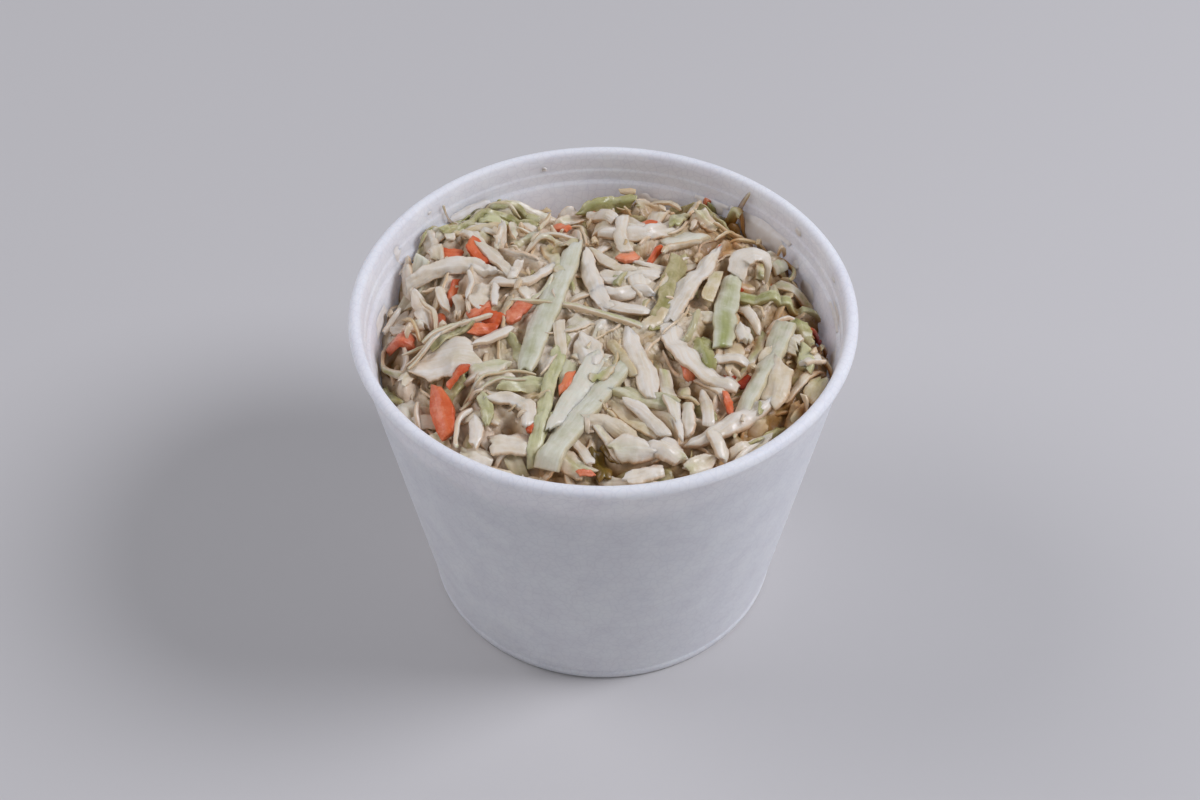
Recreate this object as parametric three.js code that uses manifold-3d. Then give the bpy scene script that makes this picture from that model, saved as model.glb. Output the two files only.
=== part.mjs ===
// Coleslaw in its foam cup. Millimetres, +Z up, origin in the middle of the cup's foot, the cup's front towards -Y.
// The cup is one moulding of expanded polystyrene. The salad is one heap: a core that fills the cup up to just
// under the salad's surface, with the shreds, chips and carrot pieces that show joined onto it.

import * as THREE from 'three';
import { mergeVertices } from 'three/addons/utils/BufferGeometryUtils.js';
import Module from 'manifold-3d';

const wasm = await Module();
wasm.setup();

// Cup: a 16 ounce squat container, 110 across the rim and 80 across the foot.
const cup = {
  height: 80.5,
  rimRadius: 55,
  footRadius: 40,
  wallTaper: 0.1789, // outward run of the wall for each millimetre of height
  wall: 2.25,
  floor: 4,
  recess: 1.5, // hollow under the foot
  footRing: 3.4,
  footBead: 2.7,
  lipDrop: 3.4, // height of the rounded lip
  cornerRadius: 4,
  segments: 64,
};

// Small steps inside the rim that catch the lid: depth below the rim, and how far each one stands in.
const lidSteps = [
  { depth: 1.7, run: 0.2 },
  { depth: 5.0, run: 0.4 },
  { depth: 8.0, run: 0.75 },
];

// Salad surface: highest in the middle, lowest at the back, where the heap has slumped from the wall.
const heap = {
  middle: 75.5,
  // where the salad meets the wall: degrees from +X towards +Y, height
  edge: [
    [-90, 70.6], [-45, 71.5], [-20, 70.5], [-5, 65.5], [5, 64.0], [20, 63.5], [30, 64.0], [45, 66.0],
    [58, 67.5], [68, 64.0], [80, 63.5], [90, 64.0], [102, 62.0], [112, 63.5], [120, 68.0], [133, 69.5],
    [145, 70.5], [154, 71.0], [162, 67.5], [170, 65.5], [180, 62.5], [190, 64.0], [205, 67.5], [225, 70.0],
    [270, 70.6],
  ],
  highEdge: 70.6,
  lowEdge: 62.0,
  roundness: 2.4,
  mounds: [
    { x: -34, y: 31, radius: 12, height: 1 },
    { x: 33, y: 22, radius: 9, height: 3 },
    { x: 22, y: 42, radius: 7, height: 1.5 },
    { x: 41, y: -16, radius: 9, height: 2 },
    { x: -2, y: -42, radius: 6, height: -3 },
    { x: 15, y: -21, radius: 5, height: -2 },
  ],
  coreDepth: 1.7, // core's top below the salad surface
  coreBumps: 0.6,
  coreInset: 0.15, // core's wall inside the shreds' limit
  bury: 1.5, // how deep the ends of a piece go under the salad surface
  clearance: 0.3, // between the salad and the cup
  segments: 40,
  rings: 5,
};

const loose = {
  count: 44,
  seed: 11,
  candidates: 14,
  lowest: -0.8,
  highest: 0.7,
};

// Kinds of loose piece: share of the pieces, then ranges for their length, width and thickness.
const kinds = [
  { share: 0.3, length: [14, 21], width: [3.2, 5.0], thick: [1.3, 1.9], curl: 50 },
  { share: 0.34, length: [9, 17], width: [1.9, 3.0], thick: [1.2, 1.7], curl: 80 },
  { share: 0.26, length: [5.5, 9], width: [4.0, 6.5], thick: [1.3, 1.8], curl: 20 },
  { share: 0.1, length: [5, 9], width: [2.4, 3.8], thick: [1.6, 2.2], curl: 0 },
];

// The pieces on top that stand out. x and y are the middle, heading and curl are degrees in plan,
// bow is the height of an arch, roll tips a piece on its long axis, lift is above the salad surface.
const topPieces = [
  { x: 20, y: 12, heading: -112, length: 29, width: 4.6, thick: 1.7, lift: 1.6, roll: 25, twist: 50 },
  { x: 19.5, y: -11.5, heading: -51, length: 27, width: 5.4, thick: 2.2, lift: 1.4, roll: -12, curl: 16 },
  { x: 13.3, y: 6.5, heading: -102, length: 25, width: 3.9, thick: 1.5, lift: 1.0, roll: -18 },
  { x: -5.5, y: 0.8, heading: -15, length: 29.5, width: 1.7, thick: 1.6, lift: 2.4, curl: -12 },
  { x: -9.5, y: 12.5, heading: -104, length: 27, width: 5.2, thick: 2.2, lift: 0.9, roll: 8 },
  { x: -15, y: -8.5, heading: -98, length: 17, width: 4.4, thick: 2.0, lift: 0.4 },
  { x: -2.5, y: 8, heading: -62, length: 25, width: 3.6, thick: 1.6, lift: 0.5, curl: 45 },
  { x: -11.8, y: -26, heading: -97, length: 29, width: 3.1, thick: 1.7, lift: 1.0, roll: 12 },
  { x: -4, y: -29, heading: -122, length: 31, width: 5.8, thick: 2.3, lift: 1.2, roll: 10, curl: -14 },
  { x: 3.8, y: -14, heading: -60, length: 15, width: 2.6, thick: 1.4, lift: 1.2, curl: -25 },
  { x: 7.6, y: -16, heading: -78, length: 21, width: 4.6, thick: 2.0, lift: 0.6, curl: 10 },
  { x: 13.6, y: -26, heading: -80, length: 20, width: 2.8, thick: 1.5, lift: 0.8, curl: 20 },
  { x: 33.3, y: -16.3, heading: -113, length: 25, width: 4.8, thick: 2.2, lift: 1.2, roll: -10 },
  { x: 27, y: 5.5, heading: -97, length: 29, width: 5.2, thick: 1.9, lift: 0.8, roll: 10 },
  { x: 33.5, y: 25, heading: 0, length: 23, width: 3.4, thick: 1.5, lift: 2.6, roll: 55, curl: -190 },
  { x: 39, y: 7, heading: -2, length: 17, width: 2.2, thick: 2.1, lift: 2.2 },
  { x: 40, y: 3, heading: 28, length: 10, width: 1.9, thick: 1.3, lift: 1.2, curl: -70 },
  { x: 27.6, y: -11.5, heading: 2, length: 10, width: 2, thick: 1.3, lift: 1.0, bow: 1.6, curl: -60 },
  { x: 32.6, y: -0.5, heading: -62, length: 11, width: 2.2, thick: 1.3, lift: 0.9, bow: 1.5 },
  { x: 36, y: -24.5, heading: -76, length: 14, width: 6, thick: 2.2, lift: 0.8, roll: -10 },
  { x: 26, y: -33, heading: 33, length: 20, width: 3.9, thick: 2.4, lift: 0.8 },
  { x: 21, y: -28, heading: -95, length: 11, width: 2.6, thick: 1.8, lift: 1.0 },
  { x: 17.6, y: -31, heading: -94, length: 9, width: 2.8, thick: 2.0, lift: 0.7 },
  { x: 11, y: -31, heading: -42, length: 12, width: 2.8, thick: 1.5, lift: 0.6, curl: -20 },
  { x: 6, y: -39, heading: -5, length: 9, width: 6.5, thick: 2.6, lift: 0.4, roll: 15 },
  { x: -33, y: -12, heading: -12, length: 11, width: 9.5, thick: 1.6, lift: 0.9, roll: -6 },
  { x: -24.2, y: -16.5, heading: 35, length: 8.5, width: 7.5, thick: 1.8, lift: 1.0, roll: 14 },
  { x: -18.5, y: -36, heading: -7, length: 10, width: 8, thick: 1.6, lift: 0.3, roll: 8 },
  { x: -18.5, y: -27.5, heading: 10, length: 13, width: 2.8, thick: 2.0, lift: 1.2, curl: -80 },
  { x: -24.6, y: -28, heading: -81, length: 10, width: 2.6, thick: 1.4, lift: 1.1 },
  { x: -26.5, y: -33.5, heading: -82, length: 7.5, width: 3.2, thick: 1.8, lift: 0.8 },
  { x: -33.5, y: -3.6, heading: 12, length: 18, width: 2, thick: 1.5, lift: 1.6 },
  { x: -24, y: -5.7, heading: 23, length: 11, width: 2.4, thick: 1.5, lift: 1.4 },
  { x: -31.5, y: 22, heading: -18, length: 26, width: 3.6, thick: 1.7, lift: 0.8, roll: 25, curl: -50 },
  { x: -25, y: 28, heading: -66, length: 27, width: 2.6, thick: 1.5, lift: 1.0 },
  { x: -19, y: 18.5, heading: -102, length: 8.5, width: 2, thick: 1.5, lift: 1.8 },
  { x: -16, y: 13, heading: 2, length: 11, width: 2.2, thick: 1.4, lift: 1.0, curl: 25 },
  { x: -27.3, y: 8, heading: -91, length: 14, width: 5.2, thick: 1.5, lift: 0.3, roll: -20 },
  { x: -38.5, y: 11.5, heading: -82, length: 21, width: 3.2, thick: 1.6, lift: 0.8, roll: 20 },
  { x: 4, y: 33.5, heading: -12, length: 12, width: 6, thick: 2.4, lift: 1.0, bow: 0.8 },
  { x: 0.5, y: 43, heading: 8, length: 13, width: 3.4, thick: 1.3, lift: 1.6, roll: 45 },
  { x: 20, y: 40.5, heading: 50, length: 15, width: 2.8, thick: 1.5, lift: 1.4, roll: 30 },
  { x: 38, y: 26, heading: -68, length: 13, width: 3.6, thick: 1.8, lift: 0.8, roll: -25 },
  { x: -33.5, y: -27, heading: -75, length: 12, width: 4.6, thick: 2.6, lift: 1.4, roll: 20 },
  { x: -30.5, y: -18.5, heading: 60, length: 8.5, width: 1.8, thick: 1.6, lift: 1.4 },
  { x: -30.5, y: 29, heading: -50, length: 10, width: 3.4, thick: 2.2, lift: 0.6 },
  { x: -25, y: 0, heading: -20, length: 9, width: 4, thick: 2.6, lift: 0.9 },
  { x: 27.8, y: -16.2, heading: -27, length: 8, width: 5, thick: 2, lift: -0.6 },
];

const fullTurn = 2 * Math.PI;
const longestStep = 5.4; // along a piece, between two of its cross-sections
const degreesPerStep = 60; // and one cross-section more for each such bend
const wideShred = 4.3; // from this width on, a piece has a crease along its middle

function mix(low, high, share) {
  return low + (high - low) * share;
}

// Repeatable random numbers from 0 to 1.
function randomNumbers(seed) {
  let state = seed;
  return () => {
    state = (state + 0x6d2b79f5) | 0;
    let t = Math.imul(state ^ (state >>> 15), 1 | state);
    t = (t + Math.imul(t ^ (t >>> 7), 61 | t)) ^ t;
    return ((t ^ (t >>> 14)) >>> 0) / 2 ** 32;
  };
}

// Points of an arc about (r, z), as [radius, height], angles in degrees.
function arc(r, z, radius, from, to, steps) {
  return Array.from({ length: steps + 1 }, (unused, i) => {
    const angle = THREE.MathUtils.degToRad(mix(from, to, i / steps));
    return [r + radius * Math.cos(angle), z + radius * Math.sin(angle)];
  });
}

function turned(profile, segments) {
  const points = profile.map(([r, z]) => new THREE.Vector2(r, z));
  return new THREE.LatheGeometry(points, segments).rotateX(Math.PI / 2);
}

function outerRadius(z) {
  return cup.footRadius + z * cup.wallTaper;
}

// Inner wall below the lid steps.
function innerRadius(z) {
  return outerRadius(z) - cup.wall;
}

function makeCup() {
  const lipBottom = cup.height - cup.lipDrop;
  const bead = cup.footBead;
  const lip = { r: 53.4, z: 78.9, radius: 1.6 };
  const profile = [
    [0, cup.recess],
    [cup.footRadius - cup.footRing - 0.6, cup.recess],
    [cup.footRadius - cup.footRing, 0],
    [cup.footRadius - 0.5, 0],
    [outerRadius(0.6) + 0.25, 0.6],
    [outerRadius(bead) + 0.25, bead],
    [outerRadius(bead + 0.4) - 0.1, bead + 0.4],
    [outerRadius(lipBottom), lipBottom],
    [cup.rimRadius - 0.35, lipBottom + 0.8],
    ...arc(lip.r, lip.z, lip.radius, 0, 90, 3),
    [52.6, cup.height - 0.35],
    [52.2, cup.height - 1],
  ];
  let radius = 52.15;
  for (const step of lidSteps) {
    const z = cup.height - step.depth;
    profile.push([radius, z]);
    radius -= step.run;
    profile.push([radius, z - step.run * 0.5]);
  }
  const corner = cup.cornerRadius;
  const cornerHeight = cup.floor + corner;
  profile.push([innerRadius(cornerHeight), cornerHeight]);
  profile.push(...arc(innerRadius(cornerHeight) - corner, cornerHeight, corner, -30, -90, 2));
  profile.push([0, cup.floor]);
  return turned(profile, cup.segments);
}

function edgeLevel(x, y) {
  const turned = THREE.MathUtils.radToDeg(Math.atan2(y, x));
  const angle = turned < heap.edge[0][0] ? turned + 360 : turned;
  const next = heap.edge.findIndex(([at], i) => i > 0 && angle <= at);
  const [[from, low], [to, high]] = [heap.edge[next - 1], heap.edge[next]];
  return mix(low, high, (angle - from) / (to - from));
}

function heapLevel(x, y) {
  const reach = Math.min(1, Math.hypot(x, y) / innerRadius(heap.highEdge));
  let level = mix(heap.middle, edgeLevel(x, y), reach ** heap.roundness);
  for (const mound of heap.mounds) {
    const away = Math.hypot(x - mound.x, y - mound.y) / mound.radius;
    level += mound.height * Math.exp(-away * away);
  }
  return level;
}

function coreTop(x, y) {
  const bumps = Math.sin(x * 0.9 + 1.3 * Math.sin(y * 0.5)) + Math.sin(y * 1.1 + 1.7 * Math.sin(x * 0.4));
  return heapLevel(x, y) - heap.coreDepth + heap.coreBumps * bumps * 0.5;
}

// The core: lower wall and floor follow the cup, and the top's rings are then set to the heap.
function makeCore() {
  const bottom = cup.floor + heap.clearance;
  const corner = cup.cornerRadius;
  const wallFoot = bottom + corner;
  const inset = heap.clearance + heap.coreInset;
  const wallTop = heap.lowEdge - 8;
  const profile = [
    [0, bottom],
    [innerRadius(wallFoot) - inset - corner, bottom],
    [innerRadius(wallFoot) - inset - corner * 0.3, bottom + corner * 0.3],
    [innerRadius(wallFoot) - inset, wallFoot],
    [innerRadius(wallTop) - inset, wallTop],
  ];
  const firstTop = profile.length;
  for (let ring = heap.rings; ring >= 0; ring -= 1) {
    profile.push([(innerRadius(wallTop) * ring) / heap.rings, wallTop + 1]);
  }
  const geometry = turned(profile, heap.segments);
  const place = geometry.getAttribute('position');
  for (let i = 0; i < place.count; i += 1) {
    const row = i % profile.length;
    if (row >= firstTop) {
      const ring = heap.rings - (row - firstTop);
      const angle = Math.atan2(place.getY(i), place.getX(i));
      const rimZ = coreTop(Math.cos(angle) * innerRadius(wallTop), Math.sin(angle) * innerRadius(wallTop));
      const radius = ((innerRadius(rimZ) - inset) * ring) / heap.rings;
      const x = radius * Math.cos(angle);
      const y = radius * Math.sin(angle);
      place.setXYZ(i, x, y, coreTop(x, y));
    }
  }
  return geometry;
}

// The room inside the cup, a clearance away from its wall, open upwards past the rim.
function makeRoom() {
  const bottom = cup.floor + heap.clearance;
  const inset = heap.clearance;
  const stepFoot = cup.height - lidSteps[2].depth - 1;
  const above = cup.height + 15;
  return turned(
    [
      [0, bottom],
      [innerRadius(bottom) - inset, bottom],
      [innerRadius(stepFoot) - inset, stepFoot],
      [innerRadius(stepFoot) - inset, above],
      [0, above],
    ],
    heap.segments,
  );
}

// A strip that follows the salad surface: a box bent in plan by curl, arched by bow, tipped by roll and twist.
function makeShred(piece) {
  const { x, y, length, width, thick } = piece;
  const { heading = 0, curl = 0, bow = 0, roll = 0, twist = 0, lift = 0, tilt = 0 } = piece;
  const degrees = THREE.MathUtils.degToRad;
  const start = degrees(heading);
  const bend = degrees(curl);
  const steps = Math.max(2, Math.round(length / longestStep + Math.abs(curl) / degreesPerStep));
  const across = width > wideShred ? 2 : 1;
  const geometry = new THREE.BoxGeometry(1, 1, 1, steps, across, 1);
  const place = geometry.getAttribute('position');
  const centre = new THREE.Vector3();
  const side = new THREE.Vector3();
  const up = new THREE.Vector3();
  for (let i = 0; i < place.count; i += 1) {
    const s = place.getX(i);
    const v = place.getY(i);
    const along = bend ? (Math.sin(bend * s) / bend) * length : s * length;
    const aside = bend ? ((1 - Math.cos(bend * s)) / bend) * length : 0;
    centre.x = x + along * Math.cos(start) - aside * Math.sin(start);
    centre.y = y + along * Math.sin(start) + aside * Math.cos(start);
    const toEnd = Math.abs(2 * s);
    const sink = (lift + heap.bury) * toEnd ** 3;
    centre.z = heapLevel(centre.x, centre.y) + lift - sink + tilt * s + bow * (1 - toEnd ** 2);
    const facing = start + bend * s;
    const lean = degrees(roll + twist * s);
    side.set(-Math.sin(facing) * Math.cos(lean), Math.cos(facing) * Math.cos(lean), Math.sin(lean));
    up.set(Math.sin(facing) * Math.sin(lean), -Math.cos(facing) * Math.sin(lean), Math.cos(lean));
    const narrowing = 1 - 0.35 * toEnd ** 4;
    const crease = 0.35 * thick * (1 - 2 * Math.abs(v));
    centre.addScaledVector(side, v * width * narrowing);
    centre.addScaledVector(up, place.getZ(i) * thick * narrowing + (across > 1 ? crease : 0));
    place.setXYZ(i, centre.x, centre.y, centre.z);
  }
  return geometry;
}

// Loose pieces: each takes the emptiest of a few random spots, the longest pieces first.
function loosePieces() {
  const random = randomNumbers(loose.seed);
  const between = ([low, high]) => mix(low, high, random());
  const pieces = [];
  for (const kind of kinds) {
    for (let i = 0; i < Math.round(loose.count * kind.share); i += 1) {
      pieces.push({
        length: between(kind.length),
        width: between(kind.width),
        thick: between(kind.thick),
        curl: between([-kind.curl, kind.curl]),
        roll: between([-35, 35]),
        twist: between([-30, 30]),
        tilt: between([-2.5, 2.5]),
        lift: between([loose.lowest, loose.highest]),
      });
    }
  }
  pieces.sort((a, b) => b.length - a.length);
  const placed = [...topPieces];
  for (const piece of pieces) {
    let best = -1;
    for (let i = 0; i < loose.candidates; i += 1) {
      const angle = random() * fullTurn;
      const farthest = innerRadius(heap.lowEdge) - piece.width;
      const radius = farthest * Math.sqrt(random());
      const x = radius * Math.cos(angle);
      const y = radius * Math.sin(angle);
      const space = Math.min(...placed.map((other) => Math.hypot(other.x - x, other.y - y)));
      if (space > best) {
        best = space;
        const nearWall = radius + piece.length / 2 > farthest;
        const alongWall = THREE.MathUtils.radToDeg(angle) + 90 + between([-25, 25]);
        Object.assign(piece, { x, y, heading: nearWall ? alongWall : random() * 180 });
      }
    }
    placed.push(piece);
  }
  return pieces;
}

function solid(geometry) {
  geometry.deleteAttribute('normal');
  geometry.deleteAttribute('uv');
  const merged = mergeVertices(geometry, 1e-4);
  const vertProperties = merged.getAttribute('position').array;
  const triVerts = new Uint32Array(merged.index.array);
  return new wasm.Manifold(new wasm.Mesh({ numProp: 3, vertProperties, triVerts }));
}

function geometryOf(body) {
  const { vertProperties, triVerts } = body.getMesh();
  const geometry = new THREE.BufferGeometry();
  geometry.setAttribute('position', new THREE.BufferAttribute(vertProperties, 3));
  geometry.setIndex(new THREE.BufferAttribute(triVerts, 1));
  geometry.computeVertexNormals();
  return geometry;
}

// All pieces joined to the core and trimmed to the cup. Only the outer skin of the largest body is kept,
// which drops loose scraps and fills any sealed hollow.
function makeSalad() {
  let salad = solid(makeCore());
  for (const piece of [...topPieces, ...loosePieces()]) {
    salad = salad.add(solid(makeShred(piece)));
  }
  salad = salad.intersect(solid(makeRoom()));
  const bodies = salad.decompose();
  bodies.sort((a, b) => b.volume() - a.volume());
  return geometryOf(bodies[0]);
}

function named(name, geometry, look) {
  const mesh = new THREE.Mesh(geometry, new THREE.MeshStandardMaterial({ metalness: 0, ...look }));
  mesh.name = name;
  return mesh;
}

const filledCup = new THREE.Group();
filledCup.add(named('foam_cup', makeCup(), { color: 0xeceef2, roughness: 0.6 }));
filledCup.add(named('coleslaw', makeSalad(), { color: 0xd8d0b8, roughness: 0.4 }));

export default filledCup;
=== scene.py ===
import math
import random

import bmesh
import bpy
import numpy as np
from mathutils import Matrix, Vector, noise


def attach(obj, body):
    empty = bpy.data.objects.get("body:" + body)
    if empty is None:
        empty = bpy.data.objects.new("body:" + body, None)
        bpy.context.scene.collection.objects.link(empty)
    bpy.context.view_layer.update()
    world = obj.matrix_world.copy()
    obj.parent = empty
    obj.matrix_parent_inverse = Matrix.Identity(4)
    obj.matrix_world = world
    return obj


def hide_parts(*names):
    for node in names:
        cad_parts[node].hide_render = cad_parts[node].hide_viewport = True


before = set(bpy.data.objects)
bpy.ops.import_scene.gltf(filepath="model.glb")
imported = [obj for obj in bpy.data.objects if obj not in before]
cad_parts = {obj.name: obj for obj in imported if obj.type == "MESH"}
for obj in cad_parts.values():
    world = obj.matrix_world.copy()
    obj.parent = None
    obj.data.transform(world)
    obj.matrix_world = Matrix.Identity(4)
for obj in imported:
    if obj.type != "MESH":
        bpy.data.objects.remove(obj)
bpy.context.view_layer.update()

# Coleslaw in a foam cup. Lengths in the dictionaries are millimetres and angles are degrees.
mm = 0.001
seed = 7
noise.seed_set(seed)  # else the vector noise takes its offsets from the clock


# ---- small helpers

def mix(low, high, share):
    return low + (high - low) * share


def linear(hexColour):
    channels = [int(hexColour[i:i + 2], 16) / 255 for i in (1, 3, 5)]
    return tuple(c / 12.92 if c <= 0.04045 else ((c + 0.055) / 1.055) ** 2.4 for c in channels) + (1.0,)


def waver(*place):
    return noise.noise(Vector(place))


def addObject(name, bm, material):
    mesh = bpy.data.meshes.new(name)
    bm.to_mesh(mesh)
    bm.free()
    mesh.polygons.foreach_set("use_smooth", [True] * len(mesh.polygons))
    mesh.materials.append(material)
    piece = bpy.data.objects.new(name, mesh)
    bpy.context.scene.collection.objects.link(piece)
    return piece


def addNode(tree, kind, settings=None, links=None):
    node = tree.nodes.new("ShaderNode" + kind)
    for key, value in (settings or {}).items():
        if key == "stops":  # of a ramp, each a position and a colour
            for stop, (position, colour) in zip(node.color_ramp.elements, value):
                stop.position, stop.color = position, linear(colour)
        elif isinstance(key, str) and hasattr(node, key):
            setattr(node, key, value)
        else:
            node.inputs[key].default_value = value
    for key, source in (links or {}).items():
        tree.links.new(source, node.inputs[key])
    return node


def newMaterial(name):
    material = bpy.data.materials.new(name)
    material.use_nodes = True
    material.node_tree.nodes.clear()
    return material, material.node_tree


def setPoints(piece, name, kind, values):
    piece.data.attributes.new(name, kind, "POINT")
    field = {"FLOAT_VECTOR": "vector", "FLOAT_COLOR": "color"}[kind]
    piece.data.attributes[name].data.foreach_set(field, np.asarray(values, np.float32).ravel())


# ---- the salad's surface

heap = {
    "middle": 75.5,
    "edge": [  # where the salad meets the wall: angle from +X towards +Y, height
        (-90, 70.6), (-45, 71.5), (-20, 70.5), (-5, 65.5), (5, 64.0), (20, 63.5), (30, 64.0), (45, 66.0),
        (58, 67.5), (68, 64.0), (80, 63.5), (90, 64.0), (102, 62.0), (112, 63.5), (120, 68.0), (133, 69.5),
        (145, 70.5), (154, 71.0), (162, 67.5), (170, 65.5), (180, 62.5), (190, 64.0), (205, 67.5),
        (225, 70.0), (270, 70.6),
    ],
    "highEdge": 70.6,
    "ceiling": 78.5,  # no shred stands higher, unless its path says so
    "roundness": 2.4,
    "mounds": [  # x, y, radius, height
        (-34, 31, 12, 1), (33, 22, 9, 3), (22, 42, 7, 1.5), (41, -16, 9, 2), (-2, -42, 6, -3),
        (15, -21, 5, -2), (34.5, 14, 3.5, -5), (14, -18, 2.5, -4), (12, -9.5, 2.5, -3), (-30, 18, 3, -3),
        (1, -39, 3, -4),
    ],
}

cup = {
    "height": 80.5,
    "rimRadius": 55.0,
    "footRadius": 40.0,
    "taper": 0.1789,
    "wall": 2.25,
    "floor": 4.0,
    "corner": 4.0,  # radius between the floor and the wall
    "underside": [  # radius, height
        (0, 1.5), (35.5, 1.5), (36.2, 1.2), (36.6, 0.15), (36.9, 0), (39.4, 0), (39.9, 0.12)],
    "footBead": [  # height, bulge beyond the taper
        (0.6, 0.2), (1.4, 0.27), (2.4, 0.27), (2.7, 0.15), (3.0, -0.1), (3.4, -0.05), (4.1, 0)],
    "wallFoot": 5.7,
    "lipDrop": 3.4,
    "lipRoll": 1.6,
    "lipInside": [(52.95, 0.1), (52.6, 0.32), (52.35, 0.65), (52.2, 1.05)],  # radius, depth below the rim
    "mouthRadius": 52.15,
    "lidSteps": [(1.7, 0.2), (5.0, 0.4), (8.0, 0.75)],  # depth below the rim, run inwards
    "wallTop": 71.0,  # of the plain taper inside
    "wallSteps": 12,
    "turns": 144,
}


def outerRadius(z):
    return cup["footRadius"] + z * cup["taper"]


def innerRadius(z):
    return outerRadius(z) - cup["wall"]


def heapLevel(x, y):
    x, y = np.asarray(x, float), np.asarray(y, float)
    reach = np.minimum(1, np.hypot(x, y) / innerRadius(heap["highEdge"]))
    angles, heights = zip(*heap["edge"])
    edge = np.interp((np.degrees(np.arctan2(y, x)) + 90) % 360 - 90, angles, heights)
    level = mix(heap["middle"], edge, reach ** heap["roundness"])
    for mx, my, radius, height in heap["mounds"]:
        level = level + height * np.exp(-((x - mx) ** 2 + (y - my) ** 2) / radius ** 2)
    return level


# ---- materials

foamLook = {
    "bead": 1.9,
    "beadRelief": 0.05,
    "cloud": 7,
    "roughness": 0.5,
    "soakRadius": (3.2, 3.0, 2.9),
}


def foamMaterial():
    # Expanded polystyrene: white beads steamed together, matt, light soaks a few millimetres into it
    material, tree = newMaterial("expanded_polystyrene")
    spot = {"Vector": addNode(tree, "TexCoord").outputs["Object"]}
    beadScale = 1 / (foamLook["bead"] * mm)
    edges = addNode(tree, "TexVoronoi", {"feature": "DISTANCE_TO_EDGE", "Scale": beadScale}, spot)
    seam = addNode(tree, "ValToRGB", {"stops": [(0, "#eeeef1"), (0.1, "#f6f6f8")]},
                   {"Fac": edges.outputs["Distance"]})
    soft = addNode(tree, "TexNoise", {"Scale": 1 / (foamLook["cloud"] * mm), "Detail": 3.0}, spot)
    tint = addNode(tree, "ValToRGB", {"stops": [(0.3, "#f4f3f5"), (0.7, "#ffffff")]},
                   {"Fac": soft.outputs["Fac"]})
    base = addNode(tree, "Mix", {"data_type": "RGBA", "blend_type": "MULTIPLY", 0: 1.0},
                   {6: seam.outputs["Color"], 7: tint.outputs["Color"]})
    beads = addNode(tree, "TexVoronoi", {"feature": "SMOOTH_F1", "Scale": beadScale, "Smoothness": 0.5}, spot)
    bump = addNode(tree, "Bump", {"Strength": 0.3, "Distance": foamLook["beadRelief"] * mm},
                   {"Height": beads.outputs["Distance"]})
    shader = addNode(tree, "BsdfPrincipled",
                     {"Roughness": foamLook["roughness"], "IOR": 1.4,
                      "Subsurface Weight": 1.0, "Subsurface Scale": 1.0,
                      "Subsurface Radius": tuple(r * mm for r in foamLook["soakRadius"])},
                     {"Base Color": base.outputs[2], "Normal": bump.outputs["Normal"]})
    addNode(tree, "OutputMaterial", links={"Surface": shader.outputs["BSDF"]})
    return material


flesh = {
    "blotch": 4,  # uneven colour, in millimetres
    "shadeWave": (1.7, -0.85),  # strength of the unevenness, and what brings its mean back to none
    "greenWave": (1.8, -0.8),
    "patch": 2.6,  # of dressing
    "patchWave": (2.4, -1.45),
    "pore": 1.5,
    "poreRelief": 0.5,
    "veinStretch": (0.12, 1.5, 1.0),  # veins to the millimetre, along and across
    "veinRelief": 0.3,
    "coat": 0.4,
    "coatRoughness": 0.18,
    "gloss": 1.38,
}


def uneven(tree, cloud, wave, share):
    # The share that an attribute gives, more in some places and less in others
    wave = addNode(tree, "Math", {"operation": "MULTIPLY_ADD", 1: wave[0], 2: wave[1]},
                   {0: cloud.outputs["Fac"]})
    return addNode(tree, "Math", {"operation": "ADD", "use_clamp": True}, {0: wave.outputs[0], 1: share})


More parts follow.
